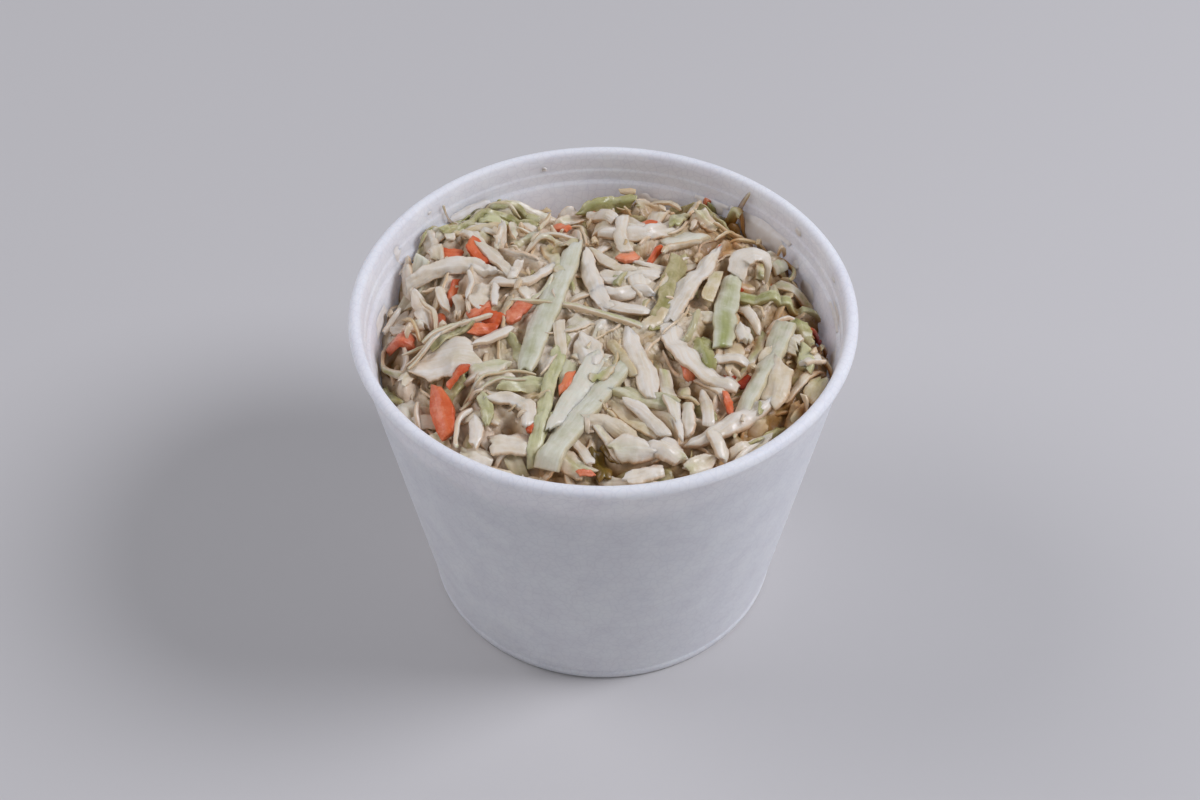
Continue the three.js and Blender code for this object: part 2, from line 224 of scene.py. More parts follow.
def shredMaterial(look):
    # Raw watery flesh: light passes through thin edges; the dressing makes it wet and creamy
    material, tree = newMaterial(look["name"])
    spot = {"Vector": addNode(tree, "TexCoord").outputs["Object"]}
    strip = addNode(tree, "Attribute", {"attribute_name": "strip"})  # millimetres along and across the shred
    tone = addNode(tree, "Attribute", {"attribute_name": "tone"})  # shade, greenness, depth (for painted shade), dressing
    parts = addNode(tree, "SeparateColor", links={"Color": tone.outputs["Color"]})
    blend = {"data_type": "RGBA"}
    multiply = {"data_type": "RGBA", "blend_type": "MULTIPLY"}
    blotch = addNode(tree, "TexNoise", {"Scale": 1 / (flesh["blotch"] * mm), "Detail": 3.0, "Roughness": 0.6},
                     spot)
    shade = uneven(tree, blotch, flesh["shadeWave"], parts.outputs["Red"])
    plain = addNode(tree, "Mix", {**blend, 6: linear(look["pale"]), 7: linear(look["deep"])},
                    {0: shade.outputs[0]})
    greenness = uneven(tree, blotch, flesh["greenWave"], parts.outputs["Green"])
    greenness = addNode(tree, "Math", {"operation": "MULTIPLY", "use_clamp": True},
                        {0: greenness.outputs[0], 1: parts.outputs["Green"]})
    # the green fades towards the edges
    split = addNode(tree, "SeparateXYZ", links={"Vector": strip.outputs["Vector"]})
    inner = addNode(tree, "MapRange",
                    {"From Min": 0.2, "From Max": 0.8, "To Min": 1.0, "To Max": look["rim"]},
                    {"Value": split.outputs["Z"]})
    greenness = addNode(tree, "Math", {"operation": "MULTIPLY", "use_clamp": True},
                        {0: greenness.outputs[0], 1: inner.outputs["Result"]})
    tinted = addNode(tree, "Mix", {**blend, 7: linear(look["green"])},
                     {0: greenness.outputs[0], 6: plain.outputs[2]})
    # fine veins run along the shred
    stretch = addNode(tree, "Mapping", {"Scale": flesh["veinStretch"]}, {"Vector": strip.outputs["Vector"]})
    veins = addNode(tree, "TexNoise", {"Scale": 1.0, "Detail": 2.0}, {"Vector": stretch.outputs["Vector"]})
    veined = addNode(tree, "ValToRGB", {"stops": [(0.3, look["vein"]), (0.62, "#ffffff")]},
                     {"Fac": veins.outputs["Fac"]})
    fibre = addNode(tree, "Mix", {**multiply, 0: look["veining"]},
                    {6: tinted.outputs[2], 7: veined.outputs["Color"]})
    # dressing lies in patches of a few millimetres. Lower down the flesh turns brown-cream:
    # partly dressing that pools there, partly painted shade in the hollows
    patch = addNode(tree, "TexNoise", {"Scale": 1 / (flesh["patch"] * mm), "Detail": 3.0, "Roughness": 0.65},
                    spot)
    cover = uneven(tree, patch, flesh["patchWave"], tone.outputs["Alpha"])
    coated = addNode(tree, "Mix", {**blend, 7: linear(look["dressing"])},
                     {0: cover.outputs[0], 6: fibre.outputs[2]})
    poolShaded = addNode(tree, "Mix", {**multiply, 7: linear(look["poolShade"])},
                     {0: parts.outputs["Blue"], 6: coated.outputs[2]})
    # the cut sides are darker, as the light that reached them has passed through the flesh
    side = addNode(tree, "MapRange", {"From Min": 0.86, "From Max": 1.0, "To Max": look["cut"]},
                   {"Value": split.outputs["Z"]})
    cut = addNode(tree, "Mix", {**multiply, 7: linear(look["cutColour"])},
                  {0: side.outputs["Result"], 6: poolShaded.outputs[2]})
    pores = addNode(tree, "TexNoise", {"Scale": 1 / (flesh["pore"] * mm), "Detail": 4.0, "Roughness": 0.55},
                    spot)
    relief = addNode(tree, "Bump", {"Strength": look["relief"], "Distance": flesh["poreRelief"] * mm},
                     {"Height": pores.outputs["Fac"]})
    lines = addNode(tree, "Bump", {"Strength": look["veinRelief"], "Distance": flesh["veinRelief"] * mm},
                    {"Height": veins.outputs["Fac"], "Normal": relief.outputs["Normal"]})
    shader = addNode(tree, "BsdfPrincipled",
                     {"Roughness": look["roughness"], "IOR": flesh["gloss"],
                      "Subsurface Weight": look["soak"], "Subsurface Scale": 1.0,
                      "Subsurface Radius": tuple(r * mm for r in look["soakRadius"]),
                      "Coat Weight": flesh["coat"], "Coat Roughness": flesh["coatRoughness"],
                      "Coat IOR": flesh["gloss"]},
                     {"Base Color": cut.outputs[2], "Normal": lines.outputs["Normal"]})
    addNode(tree, "OutputMaterial", links={"Surface": shader.outputs["BSDF"]})
    return material


looks = {  # for white cabbage, green leaf, rib, carrot and the dressed mass
    "name": ("raw_white_cabbage", "outer_cabbage_leaf", "cabbage_rib", "raw_carrot", "dressed_cabbage_mass"),
    "pale": ("#f0e7d9", "#d8d6ac", "#e6e4d2", "#f89868", "#ecdfca"),
    "deep": ("#dac8a2", "#bcb482", "#ccc69e", "#e06c38", "#d2bc94"),
    "green": ("#bcbe80", "#96984e", "#a4a866", "#cc5420", "#b8b07c"),
    "rim": (0.2, 0.35, 0.1, 1.0, 1.0),  # how much of the green is left at the edges
    "vein": ("#efe0c8", "#d6d09c", "#dedac2", "#e89468", "#ffffff"),
    "veining": (0.45, 0.35, 0.4, 0.4, 0.0),
    "veinRelief": (0.45, 0.4, 0.5, 0.5, 0.0),
    "dressing": ("#f0e3d0", "#e2dab8", "#e9dfcc", "#f2a684", "#eedcc4"),
    # the brown-cream that pooled dressing and painted shade in the hollows give the flesh
    "poolShade": ("#e4b884", "#c0904c", "#dcac70", "#b05a26", "#c09a64"),
    "cut": (0.45, 0.25, 0.4, 0.2, 0.0),  # darkening of the sides
    "cutColour": ("#ecc698", "#dccc94", "#dcc48e", "#e09058", "#ffffff"),
    "relief": (0.4, 0.4, 0.35, 0.8, 0.9),
    "roughness": (0.34, 0.32, 0.32, 0.36, 0.42),
    "soak": (0.5, 0.5, 0.5, 0.3, 0.4),
    "soakRadius": ((1.3, 1.2, 1.1), (1.3, 1.2, 1.0), (1.3, 1.2, 1.1), (0.9, 0.7, 0.6), (1.1, 1.0, 0.95)),
}

print("materials")
foam = foamMaterial()
whiteFlesh, greenLeaf, ribFlesh, carrotFlesh, massFlesh = [
    shredMaterial(dict(zip(looks, column))) for column in zip(*looks.values())]


# ---- the foam cup

def arc(r, z, radius, start, end, steps):
    angles = [math.radians(mix(start, end, i / steps)) for i in range(steps + 1)]
    return [(r + radius * math.cos(a), z + radius * math.sin(a)) for a in angles]


def cupProfile():
    top, corner, steps = cup["height"], cup["corner"], cup["wallSteps"]
    lip, low = top - cup["lipDrop"], cup["floor"] + corner
    points = cup["underside"] + [(outerRadius(z) + bulge, z) for z, bulge in cup["footBead"]]
    rise = [mix(cup["wallFoot"], lip - 0.6, i / steps) for i in range(steps + 1)]
    points += [(outerRadius(z), z) for z in rise]
    points += [(outerRadius(lip) + 0.05, lip), (outerRadius(lip) + 0.3, lip + 0.35),
               (cup["rimRadius"] - 0.4, lip + 0.85)]
    points += arc(cup["rimRadius"] - cup["lipRoll"], top - cup["lipRoll"], cup["lipRoll"], -8, 90, 10)
    points += [(radius, top - depth) for radius, depth in cup["lipInside"]]
    radius = cup["mouthRadius"]
    for depth, run in cup["lidSteps"]:
        z = top - depth
        points += [(radius, z + 0.3), (radius - 0.06, z + 0.08)]
        radius -= run
        points += [(radius + 0.08, z - run * 0.45), (radius, z - run * 0.5 - 0.2)]
    fall = [mix(cup["wallTop"], low, i / steps) for i in range(steps + 1)]
    points += [(innerRadius(z), z) for z in fall]
    points += arc(innerRadius(low) - corner, low, corner, -15, -90, 6)
    return points + [(0, cup["floor"])]


def spinProfile(bm, profile, steps):
    verts = [bm.verts.new((r * mm, 0, z * mm)) for r, z in profile]
    edges = [bm.edges.new(pair) for pair in zip(verts, verts[1:])]
    bmesh.ops.spin(bm, geom=verts + edges, axis=(0, 0, 1), cent=(0, 0, 0), steps=steps,
                   angle=2 * math.pi, use_merge=True)
    bmesh.ops.remove_doubles(bm, verts=bm.verts[:], dist=0.005 * mm)
    bmesh.ops.recalc_face_normals(bm, faces=bm.faces[:])


def makeCup():
    bm = bmesh.new()
    spinProfile(bm, cupProfile(), cup["turns"])
    return addObject("foam_cup_shell", bm, foam)


cupShell = makeCup()
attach(cupShell, "root")
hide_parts("foam_cup")
print("cup", len(cupShell.data.polygons))


# ---- the pile: a map of how high the salad stands, over a grid in plan

grid = {"cell": 0.5, "reach": 55.0}
grid["side"] = int(2 * grid["reach"] / grid["cell"]) + 1
axis = np.linspace(-grid["reach"], grid["reach"], grid["side"])
gridX, gridY = np.meshgrid(axis, axis, indexing="ij")
target = heapLevel(gridX, gridY)


def toCell(value):
    cells = np.rint((np.asarray(value) + grid["reach"]) / grid["cell"]).astype(int)
    return np.clip(cells, 0, grid["side"] - 1)


def pileAt(x, y):
    return pile[toCell(x), toCell(y)]


mass = {
    "sink": 5.0,  # of the dressed mass below the finished surface
    "fibres": 500,
    "fibreReach": 50,  # radius over which they lie
    "fibreLength": (4, 13),
    "fibreWidth": (1.0, 2.6),
    "fibreHeight": (0.5, 1.3),
    "fibreBend": 0.12,
    "fibreRise": (-0.8, 0.6),
    "filmSink": 0.9,  # of the dressing below the tops of the shreds it clings to
    "filmBridge": 1.0,  # half the width of the gaps it fills
    "underSink": 2.5,  # of the fill below the tops of the last shreds laid
    "crest": 0.35,  # of the fine shreds just under the dressing
    "groove": 1.6,  # between them
    "grain": 0.15,
    "wallDrop": 1.8,  # of the surface where it meets the foam
    "rings": 100,
    "turns": 340,
    "clearance": 0.25,
}


def massRelief(rng):
    # Cabbage cut fine and coated over: low ridges lying every way
    base = target - mass["sink"]
    level = base.copy()
    for _ in range(mass["fibres"]):
        angle, radius = rng.uniform(0, 2 * math.pi), mass["fibreReach"] * math.sqrt(rng.random())
        x, y, heading = radius * math.cos(angle), radius * math.sin(angle), rng.uniform(0, math.pi)
        half, width, height = (rng.uniform(*mass[k]) for k in ("fibreLength", "fibreWidth", "fibreHeight"))
        half /= 2
        span = half + width
        i, j = toCell([x - span, x + span]), toCell([y - span, y + span])
        box = (slice(i[0], i[1] + 1), slice(j[0], j[1] + 1))
        dx, dy = gridX[box] - x, gridY[box] - y
        along = dx * math.cos(heading) + dy * math.sin(heading)
        aside = dy * math.cos(heading) - dx * math.sin(heading)
        aside += mass["fibreBend"] * along ** 2 / half * rng.uniform(-1, 1)
        past = np.maximum(0, np.abs(along) - half)
        away = np.hypot(aside, past) / (width / 2)
        ridge = height * np.sqrt(np.maximum(0, 1 - away ** 2))
        level[box] = np.maximum(level[box], base[box] + rng.uniform(*mass["fibreRise"]) + ridge)
    return level


pile = massRelief(random.Random(seed + 1))
shelter = pile.copy()  # the same map with the arches that stand clear of the pile


def spread(values, reach):
    # Each cell takes the highest value within reach
    cells = int(reach / grid["cell"])
    padded = np.pad(values, cells, mode="edge")
    n = grid["side"]
    best = values.copy()
    for di in range(-cells, cells + 1):
        for dj in range(-cells, cells + 1):
            if math.hypot(di, dj) <= reach / grid["cell"] + 0.1:
                best = np.maximum(best, padded[cells + di:cells + di + n, cells + dj:cells + dj + n])
    return best


def blur(values):
    padded = np.pad(values, 1, mode="edge")
    rows = 0.25 * padded[:-2] + 0.5 * padded[1:-1] + 0.25 * padded[2:]
    return 0.25 * rows[:, :-2] + 0.5 * rows[:, 1:-1] + 0.25 * rows[:, 2:]


def sampleGrid(values, x, y):
    last = grid["side"] - 1.001
    i, j = [np.clip((np.asarray(q) + grid["reach"]) / grid["cell"], 0, last) for q in (x, y)]
    i0, j0 = i.astype(int), j.astype(int)
    left, right = [mix(values[i0, k], values[i0 + 1, k], i - i0) for k in (j0, j0 + 1)]
    return mix(left, right, j - j0)


# ---- kinds of shred
# cage: rows along and across; cup: bend across; ragged: of the edges; wander: of the middle line;
# ends: how often cut, torn and pointed; side: thickness left at the edge

traits = ("length", "width", "thick", "curl", "cage", "folds", "cup", "ragged", "wander", "ends", "side")
kindRows = {
    "ribbon": ((10, 22), (2.8, 5.2), (0.6, 1.0), 60, (44, 6), 0.9, 0.3, 0.3, 0.7, (0.25, 0.4, 0.35), 0.45),
    "strip": ((8, 20), (1.2, 3.0), (0.6, 1.0), 90, (34, 4), 0.5, 0.15, 0.24, 0.7, (0.35, 0.25, 0.4), 0.5),
    "rib": ((9, 20), (2.6, 4.6), (1.4, 1.9), 30, (36, 6), 0.45, 0.2, 0.16, 0.5, (0.6, 0.4, 0.0), 0.6),
    "leaf": ((8, 18), (2.0, 4.2), (0.6, 0.9), 80, (30, 6), 1.0, 0.6, 0.4, 0.7, (0.2, 0.5, 0.3), 0.7),
    "chip": ((5, 11), (3.2, 6.5), (0.7, 1.1), 35, (24, 8), 1.0, 0.4, 0.5, 0.4, (0.0, 0.6, 0.4), 0.45),
    "carrot": ((3.5, 8), (1.2, 2.6), (0.9, 1.4), 20, (14, 4), 0.6, 0.05, 0.4, 0.2, (0.2, 0.5, 0.3), 0.7),
    "thread": ((7, 18), (0.8, 1.3), (0.7, 1.0), 130, (22, 2), 0.0, 0.0, 0.06, 0.8, (0.2, 0.1, 0.7), 0.75),
    "bit": ((1.5, 4.0), (0.7, 1.7), (0.6, 1.0), 30, (6, 3), 0.2, 0.1, 0.25, 0.1, (0.4, 0.3, 0.3), 0.6),
}
kinds = {name: dict(zip(traits, row)) for name, row in kindRows.items()}


def shredCage(name, rows, columns):
    # A closed slab one unit long and wide, rows closer together towards its edges
    bm = bmesh.new()
    bmesh.ops.create_grid(bm, x_segments=rows, y_segments=columns, size=0.5)
    upper = bmesh.ops.extrude_face_region(bm, geom=bm.faces[:])["geom"]
    raised = {v for v in upper if isinstance(v, bmesh.types.BMVert)}
    for vert in bm.verts:
        u, v = vert.co.x * 2, vert.co.y * 2
        if 1 - 2.5 / rows < abs(u) < 1 - 1 / rows:
            u = math.copysign(0.98, u)
        if columns > 2 and 1 - 2.5 / columns < abs(v) < 1 - 1 / columns:
            v = math.copysign(0.96, v)
        vert.co = (u / 2, v / 2, 0.5 if vert in raised else -0.5)
    bmesh.ops.recalc_face_normals(bm, faces=bm.faces[:])
    mesh = bpy.data.meshes.new(name)
    bm.to_mesh(mesh)
    bm.free()
    return mesh, np.array([v.co[:] for v in mesh.vertices])


cages = {name: shredCage(name + "_cage", *kind["cage"]) for name, kind in kinds.items()}


# ---- laying a shred on the pile

rest = {
    "stiff": 0.5,  # 1 bridges every hollow
    "lean": 0.7,  # share of the slope below that a shred takes up
    "mostLean": 30,
    "wallStart": 32,  # from this radius on, over wallReach, the outer edge is pushed up the wall
    "wallReach": 14,
    "wallTip": 40,
    "frontTip": 5,  # the same in front of y = frontLine
    "frontLine": -22,
    "sunk": 18,  # percent of the underside that may sink in
    "over": -0.4,  # least height above the pile of a path that gives heights
}


def soften(values):
    return np.convolve(np.pad(values, 2, mode="edge"), [0.1, 0.2, 0.4, 0.2, 0.1], mode="valid")


def pathLine(path, count):
    path = np.array(path, float)
    walked = np.concatenate([[0], np.cumsum(np.linalg.norm(np.diff(path[:, :2], axis=0), axis=1))])
    fine = np.linspace(0, walked[-1], 6 * count)
    line = [soften(soften(np.interp(fine, walked, column))) for column in path.T]
    return [np.interp(np.linspace(0, 1, count), np.linspace(0, 1, 6 * count), column) for column in line]


def planLine(shred, count):
    s = np.linspace(-0.5, 0.5, count)
    if "path" in shred:
        x, y = pathLine(shred["path"], count)[:2]
        return s, x, y, np.unwrap(np.arctan2(np.gradient(y), np.gradient(x)))
    length, start, bend = shred["length"], math.radians(shred["heading"]), math.radians(shred.get("curl", 0))
    if abs(bend) > 1e-3:
        along, aside = np.sin(bend * s) / bend * length, (1 - np.cos(bend * s)) / bend * length
    else:
        along, aside = s * length, 0 * s
    x = shred["x"] + along * math.cos(start) - aside * math.sin(start)
    y = shred["y"] + along * math.sin(start) + aside * math.cos(start)
    return s, x, y, start + bend * s


def upperHull(s, z):
    keep = []
    for k in range(len(s)):
        while len(keep) > 1:
            a, b = keep[-2], keep[-1]
            if (z[b] - z[a]) * (s[k] - s[a]) <= (z[k] - z[a]) * (s[b] - s[a]):
                keep.pop()
            else:
                break
        keep.append(k)
    return np.interp(s, s[keep], z[keep])


def leanOf(x, y, across, slope):
    # It leans with what lies under it, and beside the wall its outer edge is pushed up
    lean = max(-rest["mostLean"], min(rest["mostLean"], rest["lean"] * slope))
    far = math.hypot(x, y)
    outward = (x * across[0] + y * across[1]) / max(far, 1)
    tip = rest["wallTip"] if y > rest["frontLine"] else rest["frontTip"]
    return lean + max(0, min(1, (far - rest["wallStart"]) / rest["wallReach"])) * tip * outward


def settle(shred, rng):
    # It bridges hollows as far as its stiffness lets it and raises the pile under it
    risen = "path" in shred and len(shred["path"][0]) == 3
    if "path" in shred:
        steps = np.diff(np.array(shred["path"], float), axis=0)
        shred["length"] = float(np.linalg.norm(steps, axis=1).sum())
    count = max(9, int(shred["length"]) + 1)
    s, x, y, facing = planLine(shred, count)
    width, thick = shred["width"], shred["thick"]
    half, middle = 0.35 * width, count // 2
    acrossX, acrossY = -np.sin(facing), np.cos(facing)
    heights = [pileAt(x + o * acrossX, y + o * acrossY) for o in (-half, 0, half)]
    support = np.maximum(heights[1], 0.5 * (heights[0] + heights[2]))
    line = soften(mix(soften(support), upperHull(s, support), shred.get("stiff", rest["stiff"])))
    lean = leanOf(x[middle], y[middle], (acrossX[middle], acrossY[middle]),
                  math.degrees(math.atan2(float(np.mean(heights[2] - heights[0])), 2 * half)))
    roll = np.radians(lean + shred.get("roll", 0) + shred.get("twist", 0) * s)
    line += 0.42 * thick * np.cos(roll) + 0.32 * width * np.abs(np.sin(roll))
    line += shred.get("bow", 0) * (1 - (2 * s) ** 2) + shred.get("tilt", 0) * s
    if risen:
        line = np.maximum(pathLine(shred["path"], count)[2], support + shred.get("over", rest["over"]))
    else:
        line = np.minimum(line, heap["ceiling"] - 0.5 * width * np.abs(np.sin(roll)) - 0.5 * thick)
    slope = np.arctan2(np.gradient(line), np.hypot(np.gradient(x), np.gradient(y)))
    shred["line"] = (s, x, y, line, facing, roll, slope)
    coords = cages[shred["kind"]][1]
    place, shred["strip"] = shredPoints(shred, coords, rng)
    cells = (toCell(place[:, 0]), toCell(place[:, 1]))
    if not risen:
        gaps = (place[:, 2] - pile[cells])[coords[:, 2] < 0]
        place[:, 2] += shred.get("lift", 0) - np.percentile(gaps, shred.get("sunk", rest["sunk"]))
        place[:, 2] -= max(0, float(place[:, 2].max()) - heap["ceiling"])
    shred["place"] = place
    for di, dj in ((0, 0), (1, 0), (0, 1), (-1, 0), (0, -1)):
        near = tuple(np.clip(cell + step, 0, grid["side"] - 1) for cell, step in zip(cells, (di, dj)))
        np.maximum.at(shelter, near, place[:, 2])
        if not shred.get("clear"):
            np.maximum.at(pile, near, place[:, 2])


def insideCup(shred):
    x, y = planLine(shred, 7)[1:3]
    limit = innerRadius(heapLevel(shred["x"], shred["y"])) + 0.6 - 0.35 * shred["width"]
    return float(np.hypot(x, y).max()) < limit


def shortfall(shred):
    x, y = planLine(shred, 9)[1:3]
    return float(np.mean(heapLevel(x, y) - shelter[toCell(x), toCell(y)]))


form = {
    "swell": 0.25,  # of the width along the shred
    "wander": (1.6, 1.2),  # of the middle line, sideways and up
    "rowWaves": ((0.13, 3), (0.17, 9), (0.3, 15)),  # of the middle, rise and width: per millimetre, offset
    "edgeWaves": ((0.55, 20, 1), (1.3, 40, 0.5), (2.7, 60, 0.4)),  # per millimetre, offset, height
    "foldWaves": ((0.24, 3.4, 30, 1), (0.6, 8, 50, 0.4)),  # along, across, offset, height
    "leafCrimp": 0.25,
    "grain": 0.07,
    "wallGap": 0.2,
}


def ripple(values, scale, phase):
    return np.array([waver(value * scale + phase, 7.3, phase) for value in values])


def endShape(shred, u, v, rng):
    # Cut square or on the slant, torn, or drawn out to a point
    kind = kinds[shred["kind"]]
    narrow, shift = np.ones_like(u), np.zeros_like(u)
    aspect = shred["width"] / shred["length"]
    for end in (-1, 1):
        style = rng.choices(("cut", "torn", "point"), shred.get("ends", kind["ends"]))[0]
        taper, reach = {"cut": (rng.uniform(0, 0.2), 0.15), "torn": (rng.uniform(0.2, 0.5), 0.25),
                        "point": (rng.uniform(0.55, 0.92), rng.uniform(0.3, 0.8))}[style]
        near = np.clip((2 * u * end - 1 + reach) / reach, 0, 1)
        narrow *= 1 - taper * near ** 1.4
        edge = np.clip((2 * u * end - 0.7) / 0.3, 0, 1)
        shift += rng.uniform(-0.55, 0.55) * aspect * v * edge
        if style == "torn":
            shift += end * 0.35 * aspect * ripple(v, 5.0, rng.uniform(0, 90)) * edge
    return narrow, shift


def shredPoints(shred, coords, rng):
    kind, rough = kinds[shred["kind"]], shred.get("rough", 0.6 if "path" in shred else 1)
    s, x, y, z, facing, roll, slope = shred["line"]
    u, v, w = coords[:, 0], coords[:, 1], coords[:, 2]
    length, phase = shred["length"], rng.uniform(0, 90)
    narrow, shift = endShape(shred, u, v, rng)
    reached = u + shift
    inside = np.clip(reached, -0.5, 0.5)
    bent = [np.interp(inside, s, values) for values in (x, y, z, facing, roll, slope)]
    facing, roll, slope = bent[3:]
    flat = np.cos(slope)
    forward = np.stack([np.cos(facing) * flat, np.sin(facing) * flat, np.sin(slope)], axis=1)
    level = np.stack([-np.sin(facing), np.cos(facing), 0 * facing], axis=1)
    above = np.cross(forward, level)
    across = level * np.cos(roll)[:, None] + above * np.sin(roll)[:, None]
    up = above * np.cos(roll)[:, None] - level * np.sin(roll)[:, None]
    walked = u * length
    rowNoise = {t: [waver(t * per + phase, offset, 0) for per, offset in form["rowWaves"]]
                for t in set(walked.tolist())}
    rows = np.array([rowNoise[t] for t in walked.tolist()])
    swell = 1 + form["swell"] * rough * rows[:, 2]
    swell *= np.interp(u, (-0.5, 0, 0.5), shred.get("widths", (1, 1, 1)))
    side = v * shred["width"] * narrow * swell
    edge = np.array([sum(height * waver(t * per + phase, math.copysign(offset, q), 0)
                         for per, offset, height in form["edgeWaves"]) for t, q in zip(walked, v)])
    side += np.sign(v) * (2 * v) ** 2 * rough * kind["ragged"] * edge * narrow
    side += rough * kind["wander"] * rows[:, 0] * form["wander"][0]
    thick = shred["thick"] * mix(kind["side"], 1, 1 - (2 * v) ** 12) * mix(0.6, 1, 1 - (2 * u) ** 24)
    rise = w * thick + rough * kind["wander"] * rows[:, 1] * form["wander"][1]
    rise += shred.get("folds", kind["folds"]) * np.array(
        [sum(height * waver(t * along + phase, q * aside, offset)
             for along, aside, offset, height in form["foldWaves"]) for t, q in zip(walked, v)])
    curve = shred.get("cup", kind["cup"]) * (1 - (2 * v) ** 2)
    rise += curve * (w + 0.5 if shred["kind"] == "rib" else 1) * shred["width"] / 4
    rise -= shred.get("fold", 0) * np.abs(2 * v) * shred["width"]
    if shred["kind"] == "leaf":
        rise += form["leafCrimp"] * rough * np.sin(walked * 0.9 + phase + 2 * np.sign(v)) * (2 * v) ** 2
    place = np.stack(bent[:3], axis=1) + forward * ((reached - inside) * length)[:, None]
    place += across * side[:, None] + up * rise[:, None]
    offset = Vector((phase, 0, 0))
    place += form["grain"] * np.array([noise.noise_vector(Vector(p) * 0.8 + offset)[:] for p in place])
    radius = np.hypot(place[:, 0], place[:, 1])
    squeeze = np.minimum(1, (innerRadius(place[:, 2]) - form["wallGap"]) / np.maximum(radius, 1e-6))
    place[:, :2] *= squeeze[:, None]
    return place, np.stack([walked + phase, side + phase, np.abs(2 * v)], axis=1)


def joinShreds(name, shreds, material, rng):
    bm = bmesh.new()
    strips, tones = [], []
    for shred in shreds:
        cage, coords = cages[shred["kind"]]
        start = len(bm.verts)
        bm.from_mesh(cage)
        bm.verts.ensure_lookup_table()
        place, strip = shred["place"], shred["strip"]
        for i, point in enumerate(place):
            bm.verts[start + i].co = point * mm
        # painted shade in the hollows, with the dressing pooled there, or as much as the piece's own depth
        # asks
        depth = np.maximum(shred.get("depth", 0), hollowShade(place[:, 0], place[:, 1], place[:, 2]))
        greens = (0, 0.1) if "path" in shred else rng.choice(scattered["greens"])
        greens = shred.get("green", greens)
        green = mix(greens[0], greens[1], coords[:, 0] + 0.5)
        shade = np.full_like(green, shred.get("shade", rng.random()))
        dressed = np.full_like(green, shred.get("dressed", rng.uniform(*scattered["dressed"])))
        strips.append(strip)
        tones.append(np.stack([shade, green, depth, dressed], axis=1))
    piece = addObject(name, bm, material)
    setPoints(piece, "strip", "FLOAT_VECTOR", np.concatenate(strips))
    setPoints(piece, "tone", "FLOAT_COLOR", np.concatenate(tones))
    return piece


# ---- the loose shreds that fill the heap, then the ones that stand out, then the fine bits

# fill: how far below the finished surface a gap has to lie, to get a shred
layers = {
    "deep": {"count": 420, "candidates": 14, "fill": 0.8, "shares": {
        "ribbon": 0.2, "strip": 0.44, "rib": 0.06, "leaf": 0.1, "chip": 0.12, "carrot": 0.02,
        "thread": 0.05}},
    "shreds": {"count": 330, "candidates": 26, "fill": 0.2, "shares": {
        "ribbon": 0.15, "strip": 0.42, "rib": 0.07, "leaf": 0.12, "chip": 0.1, "carrot": 0.01,
        "thread": 0.12}},
    "bits": {"count": 240, "candidates": 40, "fill": -1.4, "shares": {
        "thread": 0.46, "bit": 0.08, "strip": 0.34, "leaf": 0.06, "chip": 0.05}},
    "crumbs": {"count": 24, "candidates": 1, "fill": -9, "shares": {"bit": 1.0}},
}

scattered = {
    "onEdge": 0.33,  # share of the shreds that stand on edge
    "edgeRoll": (45, 80),
    "flatRoll": 20,
    "twist": 55,
    "tilt": 1.8,
    "bow": (0.4, 1.2),
    "cup": (-0.8, 1.6),
    "fold": 0.25,
    "stiff": (0.3, 1.0),
    "reach": 50,
    "heading": (-90, 55),
    "overlap": 0.12,  # share of its length that may lie on the main pieces
    "shade": (0.008, -0.1),  # shreds are whiter towards the left and creamier towards the right
    "greens": [(0, 0), (0, 0), (0.1, 0.4), (0, 0.8), (0.7, 0.2), (0.6, 0.9)],  # at the start and end
    "dressed": (0, 0.7),
}


def layAt(kind, x, y, heading, length, width, thick, **more):
    # x, y is its middle
    return dict(kind=kind, x=x, y=y, heading=heading, length=length, width=width, thick=thick, **more)


def layAlong(kind, path, width, thick, **more):
    return dict(kind=kind, path=path, width=width, thick=thick, **more)
